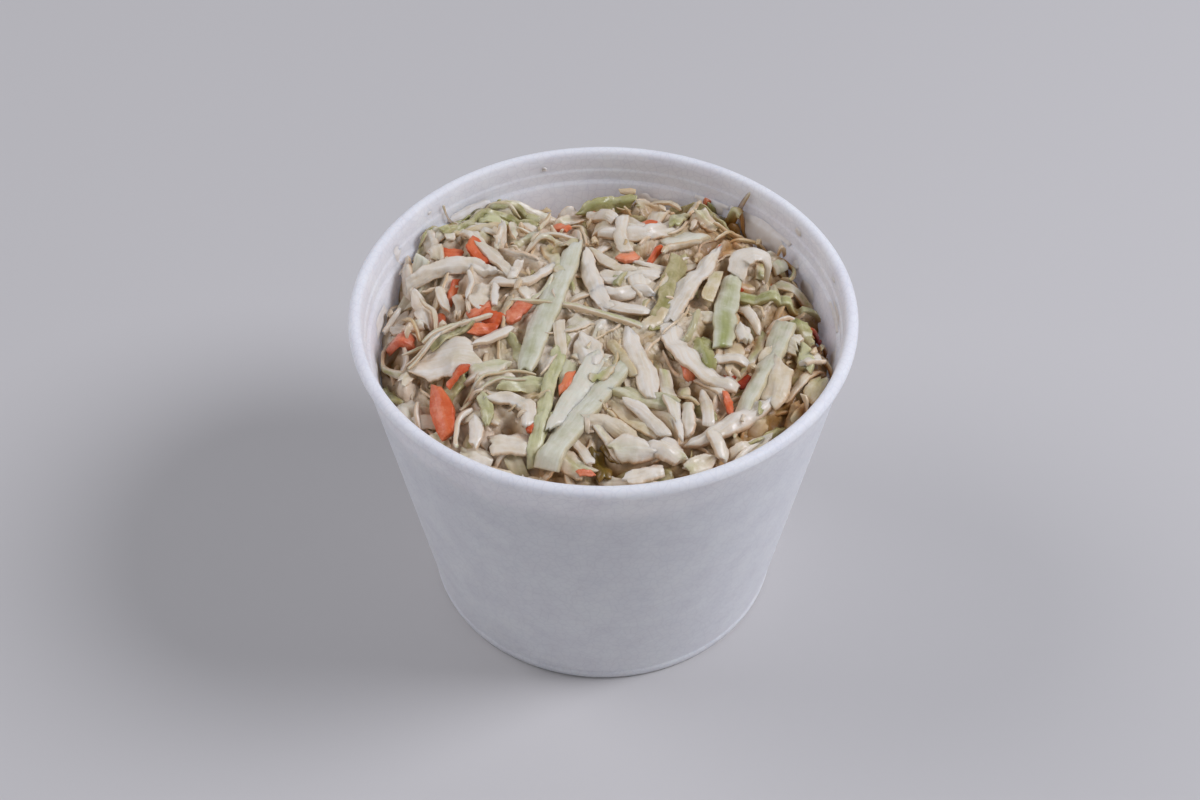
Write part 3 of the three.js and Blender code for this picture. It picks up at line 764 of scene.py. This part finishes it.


# Laid in this order, so the last lie on top. A path gives heights where the piece stands clear of the heap or
# clings to the cup. lift: off what lies under it; sunk, over, stiff: as in rest; clear: nothing rests on it;
# roll, twist: on its long axis; widths: at its start, middle and end; ends: how often cut, torn and pointed;
# rough: unevenness; green: at its start and end; shade: 0 white, 1 cream; depth: painted shade, 1 as deep in;
# dressed: 1 coated
topPieces = [
    layAt("carrot", -35.1, 21.6, -14, 7.5, 3.4, 1.2),
    layAt("carrot", -28, 20.6, -52, 7.5, 3.6, 1.4),
    layAt("carrot", -25.2, -0.5, -28, 7.5, 3.6, 1.7, roll=20),
    layAt("carrot", -26.8, 1.5, 35, 6, 3, 1.4),
    layAt("carrot", -25.6, -4.6, 12, 6, 2.6, 1.4),
    layAt("carrot", -18.8, 0.2, 62, 7, 3.4, 1.5, roll=-20),
    layAt("carrot", -44, -3.3, -16, 6.5, 4.2, 2, roll=20),
    layAt("carrot", -35.4, 2.5, -84, 5.5, 1.6, 1.3),
    layAt("carrot", -7.6, -21, 66, 6.5, 2.1, 1.5, lift=0.3),
    layAt("carrot", 28.4, -17, -27, 7, 4.2, 1.4, lift=-2.2, depth=0.8),
    layAt("carrot", 26.2, -26.4, -76, 6.5, 1.6, 1.1),
    layAt("carrot", 46.3, 1.8, 40, 4.5, 2.6, 1.3),
    layAt("carrot", -9.9, 35.3, -43, 5.5, 2.2, 1.2),
    layAt("carrot", 8.5, 32.9, 2, 7.5, 2.2, 1.3),
    layAt("carrot", 5.7, 18, 23, 4.5, 2.6, 1.3),
    layAt("carrot", 25.1, 21.4, -106, 7, 2, 1.2, roll=30),
    # along the back wall
    layAlong("strip", [(-44.6, 24.5, 72.6), (-44.6, 19, 72), (-42.8, 12, 70.8)], 3.4, 1.2, roll=50,
             shade=0.3),
    layAlong("ribbon", [(-37, 20, 73.2), (-38.6, 25, 73.4), (-40, 30, 72.6)], 3.6, 1.1, roll=-30, shade=0.4),
    layAlong("leaf", [(-40.5, 30, 71.2), (-36.9, 34.5, 71.8), (-33, 38.1, 71), (-28.9, 41.3, 71.4),
             (-24, 43.8, 69.6)], 1.6, 0.7, roll=30, green=(0.9, 0.6)),
    layAlong("thread", [(-42, 27, 71.6), (-38.6, 31, 73.4), (-34.5, 33.6, 73.2), (-29.5, 34.8, 71.6)], 1.3,
             0.8, green=(0.9, 0.9)),
    layAlong("leaf", [(-37, 29, 72.6), (-33, 34, 72.8), (-27.6, 37.5, 71.6), (-21, 38, 70.4),
             (-15, 36, 70.8)], 2, 0.7, roll=20, green=(0.7, 0.9)),
    layAlong("leaf", [(-26, 40, 69.6), (-20, 40.5, 70.6), (-14.5, 38.5, 70.6)], 2.6, 0.7, roll=35,
             green=(0.9, 0.6)),
    layAlong("thread", [(-31, 38.6, 71.2), (-26.5, 40.2, 73.2), (-22, 40.4, 71.8), (-19, 38.5, 70)], 1, 0.7,
             green=(0.3, 0.6)),
    layAlong("strip", [(-34, 30, 73.4), (-28, 32.4, 74.2), (-22, 33, 73.4)], 1.6, 0.9, green=(0.3, 0)),
    layAlong("thread", [(-37.1, 36, 78.1), (-36.6, 36.6, 74.2), (-34.8, 36.6, 70.4), (-31, 35, 69)], 0.9, 0.6,
             green=(0.8, 0.8)),
    layAlong("thread", [(-27, 43.6, 72.6), (-28.6, 41.6, 70.6), (-31, 38, 69.6)], 0.8, 0.6, green=(0.7, 0.7)),
    layAlong("strip", [(24.2, 44.4, 71.8), (23.4, 44.2, 69.6), (21.4, 42.4, 67.4), (18.5, 38, 66.6)], 2.4, 1,
             roll=30, shade=0.6),
    layAlong("carrot", [(24.7, 44.4, 72.8), (24.1, 44.4, 71.4), (23.7, 44.2, 70.2)], 1.5, 1.1),
    layAlong("thread", [(33.8, 39.2, 79), (32.9, 39.9, 76.3), (31.5, 40.6, 71.6)], 1.3, 0.6, green=(0.4, 0.6),
             shade=0.9),
    layAlong("thread", [(30.7, 39.6, 69.4), (33.4, 37, 68.2), (33, 36.6, 65), (30, 34, 64.4)], 0.9, 0.7),
    layAlong("leaf", [(25, 43.6, 68.2), (28.5, 40.6, 68.4), (32, 37.6, 67.6)], 2.4, 0.5, roll=40,
             green=(0.7, 0.5)),
    layAlong("rib", [(36, 29, 68.4), (38.2, 25.5, 68), (40.6, 21, 66.2)], 3.6, 1.5, roll=-20,
             green=(0.1, 0.8)),
    layAt("leaf", 0.5, 43.5, 8, 14, 3.6, 0.8, roll=40, green=(0.8, 0.6)),
    layAt("ribbon", 4.4, 30.8, -12, 12, 5, 1.5, bow=0.8, shade=0.1),
    layAlong("strip", [(-3.5, 40), (-1.5, 35.5), (2.5, 31)], 2.8, 1.4, shade=0.2),
    layAlong("strip", [(4.4, 36), (4.4, 31), (3.6, 26), (5.5, 20)], 3, 1.3, shade=0.2),
    layAlong("ribbon", [(-0.8, 28.4), (3.7, 27.2), (9.4, 27.4), (14.7, 30.5), (17.5, 33.5)], 4.4, 1.4,
             lift=0.5, roll=25, shade=0.05),
    layAt("leaf", 17.6, 34.5, 70, 8, 3.2, 0.8, roll=20, green=(0.6, 0.4)),
    # right
    layAt("leaf", 43, -4, -70, 9, 4.4, 0.8, roll=-15, green=(0.9, 0.3)),
    layAt("leaf", 43, -12, -85, 9, 4.2, 0.9, roll=15),
    layAt("chip", 39.5, -7, -60, 8, 5, 1.2, shade=0.4),
    layAt("chip", 44, -14, 20, 5, 4, 1.2, shade=0.1),
    layAlong("ribbon", [(37.5, -15), (36.6, -21), (34.6, -27)], 6, 1.6, roll=-10, shade=0.5),
    layAlong("leaf", [(29.5, 8.8, 74.4), (35.9, 7.6, 73.2), (41.7, 7.4, 71), (48.2, 8.6, 67.6)], 2.5, 1.4,
             over=0.1, widths=(1.2, 1.1, 0.45), ends=(0.5, 0, 0.5), cup=0.1, folds=0.1, rough=0.1,
             green=(0.8, 0.6), shade=0.4),
    layAlong("strip", [(35.6, -0.8, 71.4), (37.6, 1.2, 73.2), (40.4, 2.6, 73.8), (43.2, 2.8, 72.4),
             (45, 2.4, 70)], 1.9, 1.1, clear=True, shade=0),
    layAlong("strip", [(29.7, 5.5, 73.6), (31.6, 4.6, 74.2), (33.2, 1.2, 74), (34.3, -2.7, 72.8)], 2.2, 1.1,
             clear=True, shade=0.2),
    layAt("chip", 30, -5.4, -75, 5.5, 3.4, 1.6, shade=0),
    layAlong("rib", [(25.6, -10.1), (26.3, -4), (26.5, 2), (28.1, 10.7), (29.6, 17)], 5, 1.3, roll=8,
             widths=(0.95, 1.05, 0.75), green=(1, 0.4), shade=0.3),
    layAlong("ribbon", [(29.4, 14.5, 75.4), (30.6, 17.8, 77.6), (33.2, 19, 78), (36, 18.6, 77.8),
             (37.2, 17.4, 75.6), (37, 16.6, 71.6)], 4.6, 0.8, clear=True, widths=(1, 1.15, 0.3),
             ends=(1, 0, 0), cup=0, folds=0.2, shade=0),
    # front
    # in the hollow at the front, darkened with painted shade
    layAt("leaf", -1, -41, -75, 8, 3.4, 0.8, roll=20, green=(1, 0.9), shade=1.2, depth=0.9, dressed=-0.5),
    layAt("leaf", 2.5, -38.5, -40, 6, 3.4, 0.8, green=(1, 0.8), shade=1.2, depth=0.9, dressed=-0.5),
    layAt("chip", -6, -42, -20, 8, 5, 1, shade=0.2),
    layAt("carrot", -3.6, -44.6, 10, 3.5, 1.3, 0.9),
    layAlong("strip", [(-6.5, -36.5), (-4, -38.5), (-2.5, -42.5)], 2.2, 0.9, shade=0.3),
    layAlong("strip", [(-1.5, -33), (1.5, -36), (3, -41)], 2, 0.9, green=(0.6, 0.3)),
    layAt("chip", 8.5, -44.5, 15, 7, 4.5, 1, shade=0.2),
    layAt("chip", 20, -42, 30, 7, 4, 1, shade=0.4),
    layAt("chip", -26, -38.5, -35, 8, 4.5, 1, shade=0.2),
    layAlong("ribbon", [(-3.7, -32.4), (0.4, -31.9), (3.9, -34.4), (7.6, -36.5)], 3.6, 1.1, roll=20,
             shade=0.5),
    layAt("chip", 6, -39, -5, 9, 6, 1.8, roll=12, shade=0),
    layAt("chip", 13.5, -40, -30, 7, 5, 1.6, shade=0.1),
    layAlong("strip", [(3.9, -26.3), (7.7, -28.9), (10.7, -32.5), (12.7, -36.7)], 2.9, 1.3, roll=20,
             shade=0.1),
    layAt("strip", 17.6, -31, -94, 9, 2.8, 1.6, shade=0.2),
    layAlong("strip", [(20.4, -20.9), (21.5, -26.2), (21.7, -33.5)], 2.6, 1.4, shade=0.3),
    layAlong("ribbon", [(35.4, -25.8), (28.4, -31.2), (21, -36.2), (17, -38)], 4.2, 1.9, stiff=0.9,
             widths=(1, 1, 0.6), ends=(0, 0, 1), shade=0.1),
    layAt("strip", 23.5, -38.5, -70, 7, 3, 1.4),
    # left
    layAlong("ribbon", [(-26.2, 10.5), (-26.5, 5), (-27.4, 0.7)], 5.8, 1, roll=-15, shade=0.5),
    layAlong("ribbon", [(-42.4, 13), (-40.2, 7.4), (-38, 0.5)], 3.4, 1.2, roll=20, shade=0.1),
    layAlong("strip", [(-36.6, 12), (-35.6, 8), (-33.8, 4)], 2.2, 1.1, shade=0.2),
    layAlong("strip", [(-33, 9), (-31.4, 5.4), (-31, 1)], 2.4, 1, shade=0.4),
    layAt("chip", -43, 2, -20, 8, 3.2, 1.2, shade=0.1),
    layAt("chip", -24.2, -16.5, 15, 9, 5.5, 1.6, roll=12, shade=0),
    layAt("chip", -18.5, -36.5, -7, 9, 7, 1, roll=8, shade=0.3),
    layAt("leaf", -31.5, -21, 52, 9, 3.4, 0.8, green=(0.5, 0.7)),
    layAlong("leaf", [(-22, -21.5), (-17, -21), (-12, -20)], 3.6, 0.8, green=(0.6, 0.3)),
    layAt("carrot", -33.5, -27, -75, 12, 4.6, 2, lift=0.4, roll=22, widths=(0.7, 1.1, 0.8), rough=0.3),
    layAt("carrot", -30.5, -18.5, 60, 8.5, 1.6, 1.2),
    layAt("carrot", -14.7, -31, -98, 7.5, 1.7, 1.3, lift=0.4),
    layAt("chip", -33, -12.5, -10, 13, 11.5, 0.9, lift=0.8, roll=14, widths=(0.75, 1, 0.6), cup=0.1,
          folds=0.35, green=(0, 0.15), shade=0.1, dressed=0.1),
    layAlong("leaf", [(-37, -9.5), (-33, -6.5), (-28, -3)], 1.8, 0.8, green=(0.8, 0.4)),
    layAlong("thread", [(-43.5, -8.5), (-39, -6.5), (-35, -4.5), (-31.5, -2.8)], 1.1, 0.7, lift=0.6,
             green=(0.9, 0.5), shade=0.1, dressed=0.4),
    layAlong("thread", [(-42.5, -11), (-37, -8.2), (-32, -4.8), (-29, -2)], 1, 0.7, lift=0.8,
             green=(0.6, 0.9), shade=0.1, dressed=0.4),
    layAlong("thread", [(-42, -13), (-38, -10.5), (-35, -7), (-34, -3)], 0.9, 0.6, lift=0.7, green=(0.9, 0.2),
             shade=0.1),
    layAlong("thread", [(-29.5, -24), (-25, -19.6), (-20, -18), (-14, -18.6)], 0.9, 0.7, lift=0.7,
             green=(0.9, 0.7)),
    layAlong("thread", [(-30, -26.5), (-26, -22.5), (-21, -20.4), (-16, -21)], 0.9, 0.7, lift=0.7,
             green=(0.6, 0.9)),
    layAlong("thread", [(-44.6, 6), (-41.5, 1), (-40, -4)], 1.1, 0.7, lift=0.6),
    layAlong("thread", [(-40.5, 9), (-37.4, 4.5), (-36.6, -1)], 1, 0.7, lift=0.6),
    layAlong("thread", [(-30, 13.6), (-28.8, 9.5), (-29.6, 4)], 1.2, 0.7, lift=0.6),
    layAt("strip", -26.5, -33.5, -82, 7.5, 3, 1.3, ends=(0, 0, 1), shade=0),
    layAt("leaf", -24.6, -28, -81, 9, 2.8, 0.9, ends=(0, 0, 1), green=(0.3, 0.5)),
    layAlong("ribbon", [(-24.5, -25.5), (-19, -25), (-15.5, -28), (-15.5, -33)], 3.4, 1.4, shade=0.1),
    layAt("strip", -23.8, 6.5, -89, 8, 1.6, 1.1, shade=0),
    layAlong("strip", [(-27.9, -10.6), (-23.3, -7.2), (-19.2, -4.2)], 2.6, 1.2, lift=0.4,
             widths=(0.7, 1, 1.3), shade=0),
    layAlong("strip", [(-38.7, -7.5), (-33.3, -4.6), (-27.9, -2.4), (-23.7, -0.4)], 1.7, 1.1, lift=0.3,
             sunk=5, stiff=1, folds=0.1, rough=0.2, green=(0.9, 0.5), shade=0.2),
    layAlong("ribbon", [(-31.8, 29.5), (-28, 23.7), (-24.4, 19), (-19.8, 12.7)], 3, 1.2, green=(0.3, 0),
             shade=0.2),
    layAlong("ribbon", [(-44.2, 14.5, 71.4), (-39.5, 16.2, 74.6), (-34.4, 16.8, 76.4), (-29, 16.4, 76.8),
             (-23.4, 14.4, 75.4)], 3.8, 1, clear=True, roll=15, shade=0.15),
    layAlong("ribbon", [(-25, 11.8), (-20.5, 10), (-15.4, 11.4), (-10.6, 16.3)], 3, 1.3, lift=0.3,
             widths=(0.9, 1.2, 0.6), shade=0),
    layAlong("strip", [(-20.3, 11.3, 76), (-19.3, 14.2, 77.2), (-18.2, 16.5, 78.4)], 2, 1.2, clear=True,
             shade=0),
    # middle
    layAlong("ribbon", [(-1.5, 13), (4, 11.6), (9, 13), (12.5, 13.2)], 3.4, 1, roll=20, shade=0.1),
    layAlong("strip", [(-2.8, 22.6), (0, 17.8), (4, 14.6), (8.6, 13.6)], 2.4, 1.1, green=(0.4, 0.1),
             shade=0.5),
    layAlong("ribbon", [(-2.5, 7.5), (3, 6.6), (8, 8), (11.5, 7)], 3.2, 1, roll=25, shade=0.05),
    layAlong("strip", [(0.5, 3), (5, 1.4), (10.4, 1.6)], 2.6, 1, shade=0.1),
    layAlong("strip", [(-9.5, -2), (-9.3, -7.5), (-8.6, -13)], 2.6, 1.1, shade=0.3),
    layAlong("ribbon", [(-4, 21.5), (-2.8, 13.5), (-1.2, 6.5), (1.6, 1.5)], 4.2, 1.2, widths=(0.7, 1, 0.7),
             shade=0),
    layAlong("rib", [(-6.2, 24.6), (-7.9, 16.4), (-10.4, 7.5), (-13.1, -1.8), (-14.6, -8.5), (-16.4, -17.5)],
             5.4, 1.4, roll=8, widths=(0.75, 1.1, 0.85), green=(0, 0.6), shade=0.1),
    layAt("chip", -3.2, -11.5, -70, 10, 6, 1.1, green=(0.3, 0.1), shade=0.1),
    layAlong("strip", [(12.5, -15.2), (13.6, -23.8), (14.9, -30.5), (15.8, -37.5)], 2.8, 1.1,
             widths=(1, 1.2, 0.4), green=(0.8, 0), shade=0.1),
    layAlong("ribbon", [(4.6, -4), (7, -11.4), (8.8, -18.3), (10.2, -25.5)], 4.8, 1.4, widths=(0.75, 1, 1.05),
             shade=0.05),
    layAlong("strip", [(1, -8.5), (4, -13), (6.4, -19)], 2.4, 1, green=(0.5, 0.2)),
    layAlong("leaf", [(-9.3, -10.4), (-11.2, -19.9), (-12.5, -30.5), (-14.1, -41.5)], 3.6, 1.1, stiff=0.9,
             roll=10, widths=(1, 0.8, 0.9), ends=(1, 0, 0), green=(0.4, 0.2), shade=0.1),
    layAlong("rib", [(-1.1, -11.5), (-3.2, -18.6), (-7.3, -27), (-11, -35)], 4.6, 1.3, widths=(0.9, 1, 0.7),
             green=(0.1, 0), shade=0.1),
    layAlong("rib", [(4.8, -14.4), (0.6, -21.4), (-3.8, -28.9), (-7.8, -35.6), (-11.8, -43.6)], 5.6, 1.7,
             sunk=8, stiff=0.9, roll=14, widths=(0.8, 1, 1.05), green=(0.35, 0.1), shade=0.3),
    layAlong("rib", [(39.8, -1.8), (36.6, -10.9), (32.9, -18.9), (30.3, -25.1), (28.6, -31)], 4.6, 1.5,
             roll=-8, widths=(1.35, 0.95, 0.8), green=(0.35, 0.1), shade=0.4),
    layAlong("strip", [(23.4, -13, 75.4), (25.8, -13, 76.8), (29, -13.4, 76.8), (31.8, -14.2, 75)], 2.2, 1,
             clear=True, shade=0),
    layAlong("leaf", [(16.9, 19), (14.9, 10.9), (13, 3.4), (10.8, -4.8)], 4.4, 0.9, roll=-18,
             widths=(1, 1, 0.8), ends=(1, 0, 0), green=(0.2, 0.9), depth=0.25),
    layAlong("ribbon", [(26.6, 22.6), (23.6, 17.3), (20.8, 12.6), (18, 7.7), (15.6, 3), (13.9, -2)], 5.2, 1.1,
             roll=15, twist=25, widths=(0.45, 1, 1.25), rough=1.2, shade=0),
    layAlong("ribbon", [(14.2, -1.2), (15.6, -8.1), (18.5, -13.4), (22.1, -18.1), (25, -20.8), (28.6, -21.2)],
             5.6, 1.2, stiff=0.9, roll=-10, widths=(1.1, 1, 0.55), ends=(1, 0, 0), rough=1.2, shade=0),
    layAlong("strip", [(-20.2, 3.9), (-12.8, 3.3), (-6.2, 2.2), (0.6, -0.6), (8.8, -4.4)], 1.8, 1.2, lift=0.1,
             sunk=3, stiff=1, widths=(0.5, 0.9, 1.35), ends=(1, 0, 0), folds=0.1, rough=0.15,
             green=(0.6, 0.9), shade=0.3, dressed=0.3),
]

held = np.zeros(target.shape, bool)  # cells under the main pieces, where only crumbs may lie


def offMain(shred):
    x, y = planLine(shred, 9)[1:3]
    return float(held[toCell(x), toCell(y)].mean()) < scattered["overlap"]


def scatter(layer, rng):
    made = []
    names, shares = list(layer["shares"]), list(layer["shares"].values())
    for _ in range(layer["count"]):
        name = rng.choices(names, shares)[0]
        kind = kinds[name]
        shred = {key: rng.uniform(*kind[key]) for key in ("length", "width", "thick")}
        onEdge = rng.random() < scattered["onEdge"]
        shred.update(kind=name, curl=rng.uniform(-1, 1) * kind["curl"],
                     twist=rng.gauss(0, scattered["twist"]),
                     roll=rng.choice((-1, 1)) * rng.uniform(*scattered["edgeRoll"]) if onEdge else
                     rng.gauss(0, scattered["flatRoll"]),
                     tilt=rng.gauss(0, scattered["tilt"]),
                     bow=rng.choice((0, 1)) * rng.gauss(*scattered["bow"]),
                     cup=kind["cup"] * rng.uniform(*scattered["cup"]),
                     fold=rng.choice((0, 0, 1)) * rng.uniform(-scattered["fold"], scattered["fold"]),
                     stiff=rng.uniform(*scattered["stiff"]), shade=rng.random())
        best = None
        for _ in range(layer["candidates"]):
            angle, radius = rng.uniform(0, 2 * math.pi), scattered["reach"] * math.sqrt(rng.random())
            shred.update(x=radius * math.cos(angle), y=radius * math.sin(angle),
                         heading=rng.gauss(*scattered["heading"]))
            if insideCup(shred) and (layer["candidates"] == 1 or offMain(shred)):
                gap = shortfall(shred)
                if best is None or gap > best[0]:
                    best = (gap, {key: shred[key] for key in ("x", "y", "heading")})
        if best and best[0] > layer["fill"]:
            shred.update(best[1])
            shred["shade"] += scattered["shade"][0] * shred["x"] + scattered["shade"][1]
            settle(shred, rng)
            made.append(shred)
    return made


rng = random.Random(seed)
shreds = scatter(layers["deep"], rng) + scatter(layers["shreds"], rng)
coatedPile = pile.copy()  # the dressing reaches this far up
print("shreds", len(shreds))
for shred in topPieces:
    settle(shred, rng)
    held[toCell(shred["place"][:, 0]), toCell(shred["place"][:, 1])] = True
held = spread(held.astype(float), 0.5) > 0
shreds += topPieces
fine = scatter(layers["bits"], rng) + scatter(layers["crumbs"], rng)
print("bits", len(fine))
shreds += fine

crowd = blur(blur(spread(pile, 1.5)))  # how high the tops close by stand

# Painted shade in the hollows, together with the dressing that pools there
poolShade = {
    "top": 1.1,  # below the tops, where painted shade and pooled dressing start to turn the flesh brown-cream
    "depth": 5.0,  # over which it turns
    "slant": 0.045,  # sooner at the right
}


def hollowShade(x, y, z):
    # painted shade: the share of the brown-cream, from how far the point lies below the tops close by
    below = sampleGrid(crowd, x, y) - z - poolShade["top"]
    return np.clip(below / (poolShade["depth"] - poolShade["slant"] * x), 0, 1)


groups = {
    "cabbage_ribbons": ("ribbon", whiteFlesh, "cabbage"),
    "cabbage_strips": ("strip", whiteFlesh, "cabbage"),
    "cabbage_chips": ("chip", whiteFlesh, "cabbage"),
    "cabbage_threads": ("thread", whiteFlesh, "cabbage"),
    "cabbage_crumbs": ("bit", whiteFlesh, "cabbage"),
    "cabbage_ribs": ("rib", ribFlesh, "cabbage_green"),
    "green_leaf_shreds": ("leaf", greenLeaf, "cabbage_green"),
    "carrot_shavings": ("carrot", carrotFlesh, "carrot"),
}
for name, (kind, material, slot) in groups.items():
    piece = joinShreds(name, [s for s in shreds if s["kind"] == kind], material, rng)
    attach(piece, "root")
    print(name, len(piece.data.polygons))


# ---- the dressed mass: it fills the narrow gaps and clings to the sides of the shreds

def toWall(values):
    # Past the wall the map repeats what lies just inside it, so the film meets the foam level
    radius = np.maximum(np.hypot(gridX, gridY), 1e-6)
    share = np.minimum(1, (innerRadius(68) - 1.2) / radius)
    return sampleGrid(values, gridX * share, gridY * share)


def makeMass():
    bridge, clearance = mass["filmBridge"], mass["clearance"]
    film = -spread(-spread(toWall(coatedPile), bridge), bridge)
    film = np.minimum(film, blur(blur(film))) - mass["filmSink"]
    under = spread(-spread(-toWall(pile), bridge), bridge)
    film = np.maximum(film, blur(under) - mass["underSink"])
    bm = bmesh.new()
    flat, low = 66, cup["floor"] + 0.3
    edge = innerRadius(flat) - clearance
    side = [(innerRadius(z) - clearance, z) for z in (60, 45, 30, 15, low)]
    top = [(edge * (i / mass["rings"]) ** 0.85, flat) for i in range(mass["rings"] + 1)]
    spinProfile(bm, top + side + [(0, low)], mass["turns"])
    for vert in bm.verts:
        if vert.co.z > (flat - 1) * mm:
            x, y = vert.co.x / mm, vert.co.y / mm
            far = math.hypot(x, y)
            z = float(sampleGrid(film, x, y)) + mass["grain"] * noise.noise(Vector((x, y, 0)) * 1.3)
            lines = [abs(waver(*q)) for q in ((x * 0.9, y * 0.2, 4), (x * 0.2, y * 0.9, 9),
                                              ((x + y) * 0.65, (x - y) * 0.14, 14))]
            z += mass["crest"] - mass["groove"] * min(0.5, min(lines) * 1.2) ** 0.8
            z -= mass["wallDrop"] * min(1, far / 50) ** 8
            squeeze = min(1, (innerRadius(z) - clearance) / max(1e-6, far))
            vert.co = (x * squeeze * mm, y * squeeze * mm, z * mm)
    piece = addObject("dressed_mass", bm, massFlesh)
    tones, strips = [], []
    for vert in piece.data.vertices:
        x, y, z = vert.co / mm
        # whiter towards the left and creamier towards the right
        shade = 0.4 + 0.01 * x + 0.9 * noise.noise(Vector((x, y, z)) * 0.22)
        green = 0.25 + 0.7 * noise.noise(Vector((x, y, 40)) * 0.12)
        # painted shade in the hollows of the mass, as on the shreds
        tones.append((shade, green, float(hollowShade(x, y, z)), 0.35))
        strips.append((x, y, 0))
    setPoints(piece, "tone", "FLOAT_COLOR", tones)
    setPoints(piece, "strip", "FLOAT_VECTOR", strips)
    return piece


massPiece = makeMass()
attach(massPiece, "root")
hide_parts("coleslaw")
print("dressed mass", len(massPiece.data.polygons))


# ---- dressing smeared on the wall and the rim

smears = {
    "cells": (18, 12),
    "wallRadius": 51,
    "fade": 1.6,
    "unevenness": 0.9,
    "dip": 0.6,  # of the back into the foam
    "places": [  # angle from +X, height, reach round the wall and up it, thickness
        (44, 69.8, 19, 7.5, 0.35), (32, 77.2, 3.4, 2.2, 0.35), (29, 69.4, 2.8, 4.2, 0.8),
        (21.5, 67.2, 8, 6, 0.4), (5, 73.6, 10, 3, 0.25), (105.5, 76.9, 1.6, 1.4, 0.45),
        (154, 74.6, 3.0, 6, 0.3), (172, 68.6, 12, 5, 0.3), (188, 66.6, 9, 4, 0.3), (60, 70.6, 9, 4, 0.3),
        (128, 72.4, 12, 3, 0.3), (78, 68.4, 7, 4, 0.3), (12, 77.6, 2.2, 1.2, 0.3),
        (140, 77.6, 1.6, 1.0, 0.3), (-8, 69.4, 8, 5, 0.3), (200, 71.4, 6, 4, 0.3),
    ],
}


def smearMaterial():
    # Thin mayonnaise dressing: cream and wet
    material, tree = newMaterial("thin_cream_dressing")
    coord = addNode(tree, "TexCoord")
    cloud = addNode(tree, "TexNoise", {"Scale": 1 / (1.6 * mm), "Detail": 3.0},
                    {"Vector": coord.outputs["Object"]})
    tint = addNode(tree, "ValToRGB", {"stops": [(0.3, "#f2ebe2"), (0.7, "#fbf8f4")]},
                   {"Fac": cloud.outputs["Fac"]})
    shader = addNode(tree, "BsdfPrincipled", {"Roughness": 0.35, "IOR": 1.45},
                     {"Base Color": tint.outputs["Color"]})
    addNode(tree, "OutputMaterial", links={"Surface": shader.outputs["BSDF"]})
    return material


def wallRadius(z):
    radius = cup["mouthRadius"] - sum(run for depth, run in cup["lidSteps"] if z < cup["height"] - depth)
    return min(radius, innerRadius(z) if z < cup["wallTop"] + 1 else radius)


def makeSmears():
    # Each is a patch whose thickness fades at an uneven outline, where it dips into the foam
    bm = bmesh.new()
    columns, rows = smears["cells"]
    for number, (angle, height, around, upward, thick) in enumerate(smears["places"]):
        made = bmesh.ops.create_grid(bm, x_segments=columns, y_segments=rows, size=0.5)["verts"]
        faces = list({face for vert in made for face in vert.link_faces})
        back = bmesh.ops.extrude_face_region(bm, geom=faces)["geom"]
        back = {v for v in back if isinstance(v, bmesh.types.BMVert)}
        for vert in list(made) + list(back):
            u, v = vert.co.x * 2, vert.co.y * 2
            fade = 1 - smears["fade"] * (u * u + v * v)
            fade += smears["unevenness"] * waver(u * 1.7, v * 1.7, number * 5.3)
            offset = thick * min(0.6, max(-0.4, fade)) if vert not in back else -smears["dip"]
            z = height + v * upward / 2
            turn = math.radians(angle) + u * around / 2 / smears["wallRadius"]
            radius = wallRadius(z) - offset
            vert.co = (radius * math.cos(turn) * mm, radius * math.sin(turn) * mm, z * mm)
    bmesh.ops.recalc_face_normals(bm, faces=bm.faces[:])
    return addObject("dressing_smears", bm, smearMaterial())


smearPiece = makeSmears()
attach(smearPiece, "root")
print("smears", len(smearPiece.data.polygons))


# ---- stage, light and camera

stage = {
    "floorSize": 2.0,
    "floorColour": "#cfccc9",
    "skyColour": "#e4e8f4",
    "skyStrength": 0.31,
    "aim": (0, 0, 0.07),
    "lights": {
        "window_light": {"place": (0.85, -0.03, 0.9), "size": 0.5, "power": 9.2, "colour": "#eef0fc"},
        "side_fill": {"place": (-0.9, 0.2, 0.9), "size": 0.8, "power": 5.0, "colour": "#f2f2fc"},
    },
}

camera = {
    "place": (0, -0.3168, 0.3743),
    "downward": 45.61,
    "turn": 0.13,
    "lens": 60,
    "sensor": 36,
}


def makeFloor():
    material, tree = newMaterial("pale_studio_paper")
    shader = addNode(tree, "BsdfPrincipled", {"Base Color": linear(stage["floorColour"]), "Roughness": 0.8})
    addNode(tree, "OutputMaterial", links={"Surface": shader.outputs["BSDF"]})
    bm = bmesh.new()
    bmesh.ops.create_grid(bm, x_segments=1, y_segments=1, size=stage["floorSize"])
    floor = addObject("studio_floor", bm, material)


def addLight(name, settings):
    lamp = bpy.data.lights.new(name, "AREA")
    lamp.shape = "DISK"
    lamp.size = settings["size"]
    lamp.energy = settings["power"]
    lamp.color = linear(settings["colour"])[:3]
    light = bpy.data.objects.new(name, lamp)
    light.location = settings["place"]
    sight = Vector(stage["aim"]) - Vector(settings["place"])
    light.rotation_euler = sight.to_track_quat("-Z", "Y").to_euler()
    bpy.context.scene.collection.objects.link(light)


def makeStage():
    makeFloor()
    for name, settings in stage["lights"].items():
        addLight(name, settings)
    world = bpy.data.worlds.new("studio")
    world.use_nodes = True
    background = world.node_tree.nodes["Background"]
    background.inputs["Color"].default_value = linear(stage["skyColour"])
    background.inputs["Strength"].default_value = stage["skyStrength"]
    bpy.context.scene.world = world
    bpy.context.scene.view_settings.view_transform = "Standard"


def makeCamera():
    data = bpy.data.cameras.new("camera")
    data.sensor_width = camera["sensor"]
    data.lens = camera["lens"]
    piece = bpy.data.objects.new("camera", data)
    piece.location = camera["place"]
    piece.rotation_euler = (math.radians(90 - camera["downward"]), 0, math.radians(camera["turn"]))
    bpy.context.scene.collection.objects.link(piece)
    bpy.context.scene.camera = piece


makeStage()
makeCamera()
